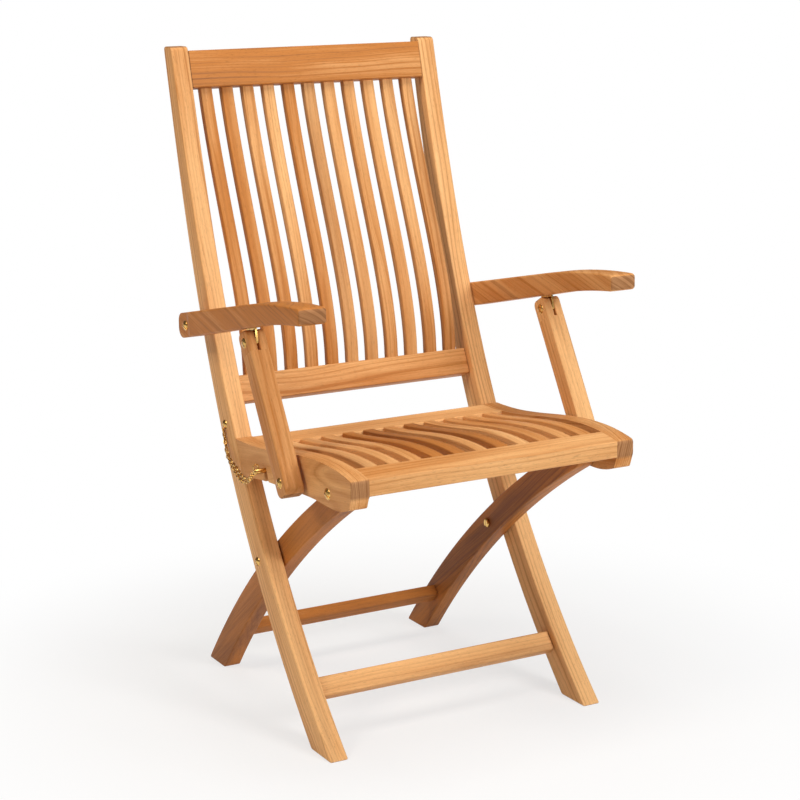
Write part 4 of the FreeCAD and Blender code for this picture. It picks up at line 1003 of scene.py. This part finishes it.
class ARMCHAIR_OT_seat(bpy.types.Operator):
    """The waved slats and the two cross rails of the seat; the side rails keep their notched CAD shape"""

    bl_idname = "armchair.seat"
    bl_label = "Seat"

    def execute(self, context):
        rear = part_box("seat_rear_rail")[1][1] / MM
        front_end = SEAT_NOSE_Y + FRONT_RAIL[0]
        rear_end = rear - REAR_RAIL[0]
        reach = x_range("seat_side_rail_right")[0]
        y = np.linspace(rear_end + SEAT_LET_IN, front_end - SEAT_LET_IN, 40)
        top = np.column_stack([y, seat_top(y)])
        under = top - (0.0, SEAT_SLAT_THICKNESS)
        for i, tone in enumerate(SEAT_SLAT_TONES):
            node = f"seat_slat_{i + 1}"
            wooden(node, "seat", side_board(top, under, *x_range(node), edge("slat_arris")), tone)
        slope = REAR_RAIL[1] * math.tan(float(lean(SEAT_REAR_HEIGHT)))
        for node, back, ahead, thickness, shift in (
                ("seat_front_rail", front_end, SEAT_NOSE_Y, FRONT_RAIL[1], 0.0),
                ("seat_rear_rail", rear, rear_end, REAR_RAIL[1], slope)):
            wooden(node, "seat", seat_cross_rail(back, ahead, thickness, shift, reach, edge("arris")))
        for side in SIDES:
            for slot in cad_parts["seat_side_rail_" + side].material_slots:
                slot.material = seat_rail_teak()
        return {"FINISHED"}


class ARMCHAIR_OT_arms(bpy.types.Operator):
    """The two arms, sawn from a straight plank, pared back at the bolt, and their brass brackets"""

    bl_idname = "armchair.arms"
    bl_label = "Arms"

    def execute(self, context):
        top, under = arm_line(ARM_TOP, 30), arm_line(ARM_UNDER, 30)
        way = unit(top[0] - top[1])
        reach, slope, depth = ARM_PARE
        for side, sign in SIDES.items():
            node = "arm_" + side
            low, high = sorted(abs(x) for x in x_range(node))
            board = side_board(top, under, sign * low, sign * high, edge("arm_arris"), **ARM_ENDS,
                               plank=straight_plank(ARM_GRAIN))
            points = board[0]
            past = (points[:, 1:] - np.array(ARM_PIVOT)) @ way + reach
            limit = high - depth * np.clip(past / slope, 0.0, 1.0)
            points[:, 0] = sign * np.minimum(np.abs(points[:, 0]), limit)
            wooden(node, side + "_arm", board, heart=ARM_HEART)
            node = "arm_bracket_" + side
            brass_piece(node + "_blade", side + "_arm", bracket(sum(x_range("strut_" + side)) / 2), node)
        return {"FINISHED"}


class ARMCHAIR_OT_struts(bpy.types.Operator):
    """The two struts, each with a slot for the blade of the arm's bracket"""

    bl_idname = "armchair.struts"
    bl_label = "Struts"

    def execute(self, context):
        foot, head = np.array(STRUT_FOOT), np.array(STRUT_TOP)
        way = unit(head - foot)
        back = np.array([way[1], -way[0]])
        low = foot - way * STRUT_REACH[0]
        high = head + way * STRUT_REACH[1]
        depth, gap = STRUT_SLOT
        fork = head - way * depth
        half = back * STRUT_WIDTH / 2

        def length(first, last, x_low, x_high, **more):
            at = np.linspace(first, last, 12)
            return side_board(at - half, at + half, x_low, x_high, edge("arris"), **more)

        for side in SIDES:
            node = "strut_" + side
            x_low, x_high = x_range(node)
            middle = (x_low + x_high) / 2
            parts = [length(low, fork, x_low, x_high, start=STRUT_FOOT_ENDS, cut=(1.0, 0.0))]
            for edges in ((x_low, middle - gap / 2), (middle + gap / 2, x_high)):
                parts.append(length(fork, high, *edges, end=STRUT_TOP_ENDS, cut=(0.0, 1.0)))
            wooden(node, side + "_strut", joined(parts))
        return {"FINISHED"}


class ARMCHAIR_OT_hardware(bpy.types.Operator):
    """Slotted brass heads of bolts, screws and pins; the rest of the hardware keeps its CAD shape in brass"""

    bl_idname = "armchair.hardware"
    bl_label = "Hardware"

    def execute(self, context):
        for node, body, place, radius, angle in HEADS:
            brass_piece(node + "_heads", body, heads(node, place, radius, HEAD_HEIGHT, angle, HEAD_HEIGHT), node)
        for side, sign in SIDES.items():
            body = side + "_strut"
            node = "strut_foot_bolt_" + side
            brass_piece("strut_foot_head_" + side, body, heads(node, STRUT_FOOT, *FOOT_HEAD, (sign,)), node)
            node = "strut_top_pin_" + side
            brass_piece("strut_top_head_" + side, body, heads(node, STRUT_TOP, *TOP_PIN_HEAD), node)
        for node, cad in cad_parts.items():
            if not cad.hide_render and cad.data.materials and not node.startswith("seat_side_rail"):
                for slot in cad.material_slots:
                    slot.material = brass()
        return {"FINISHED"}


class ARMCHAIR_OT_chains(bpy.types.Operator):
    """The two double safety chains from their screws to the lock pins, and the pins themselves"""

    bl_idname = "armchair.chains"
    bl_label = "Chains and lock pins"

    def execute(self, context):
        inset, above, radius, wire = PIN_EYE
        for side, sign in SIDES.items():
            routes = [[(sign * x, y, z) for x, y, z in strand] for strand in CHAIN_STRANDS]
            node = "safety_chain_" + side
            links = joined([chain_links(route, *CHAIN_LINK) for route in routes])
            brass_piece(node + "_links", "back_frame", links, node)
            node = "lock_pin_" + side
            inner, outer = sorted(abs(x) for x in x_range(node))
            profile = [(inner + x, r) for x, r in PIN_INNER_END] + [(outer - x, r) for x, r in PIN_OUTER_END]
            y, z = LOCK_PIN
            pin = turned([(sign * x, r) for x, r in profile], (0.0, y, z))
            eye = hoop((sign * (outer - inset), y, z + above), radius, wire)
            brass_piece(node + "_turned", side + "_lock_pin", joined([pin, eye]), node)
        return {"FINISHED"}


class ARMCHAIR_OT_stage(bpy.types.Operator):
    """Pale floor, soft lamps and the camera at the photograph's angle"""

    bl_idname = "armchair.stage"
    bl_label = "Stage"

    def execute(self, context):
        scene = context.scene
        studio = scene.armchair_studio
        add_floor(scene)
        for name, (place, aim, size, colour) in LAMPS.items():
            add_lamp(scene, name + "_lamp", place, aim, size, getattr(studio, name), colour)
        add_sky(scene, studio.sky)
        add_camera(scene, studio)
        scene.view_settings.view_transform = "Standard"
        return {"FINISHED"}


class ARMCHAIR_PT_panel(bpy.types.Panel):
    """Panel of the armchair in the sidebar"""

    bl_idname = "ARMCHAIR_PT_panel"
    bl_label = "Folding armchair"
    bl_space_type = "VIEW_3D"
    bl_region_type = "UI"
    bl_category = "Armchair"

    def draw(self, context):
        layout = self.layout
        for group in (context.scene.armchair_look, context.scene.armchair_studio):
            for key in group.__annotations__:
                layout.prop(group, key)
        for operator in OPERATORS:
            layout.operator(operator.bl_idname)


OPERATORS = (
    ARMCHAIR_OT_stiles, ARMCHAIR_OT_rails, ARMCHAIR_OT_back_slats, ARMCHAIR_OT_rear_legs, ARMCHAIR_OT_seat,
    ARMCHAIR_OT_arms, ARMCHAIR_OT_struts, ARMCHAIR_OT_chains, ARMCHAIR_OT_hardware, ARMCHAIR_OT_stage,
)
CLASSES = (ArmchairLook, ArmchairStudio, *OPERATORS, ARMCHAIR_PT_panel)


def register():
    for item in CLASSES:
        bpy.utils.register_class(item)
    bpy.types.Scene.armchair_look = bpy.props.PointerProperty(type=ArmchairLook)
    bpy.types.Scene.armchair_studio = bpy.props.PointerProperty(type=ArmchairStudio)


def unregister():
    del bpy.types.Scene.armchair_studio
    del bpy.types.Scene.armchair_look
    for item in reversed(CLASSES):
        bpy.utils.unregister_class(item)


def main():
    register()
    bpy.ops.armchair.stiles()
    bpy.ops.armchair.rails()
    bpy.ops.armchair.back_slats()
    bpy.ops.armchair.rear_legs()
    bpy.ops.armchair.seat()
    bpy.ops.armchair.arms()
    bpy.ops.armchair.struts()
    bpy.ops.armchair.chains()
    bpy.ops.armchair.hardware()
    bpy.ops.armchair.stage()


if __name__ == "__main__":
    main()
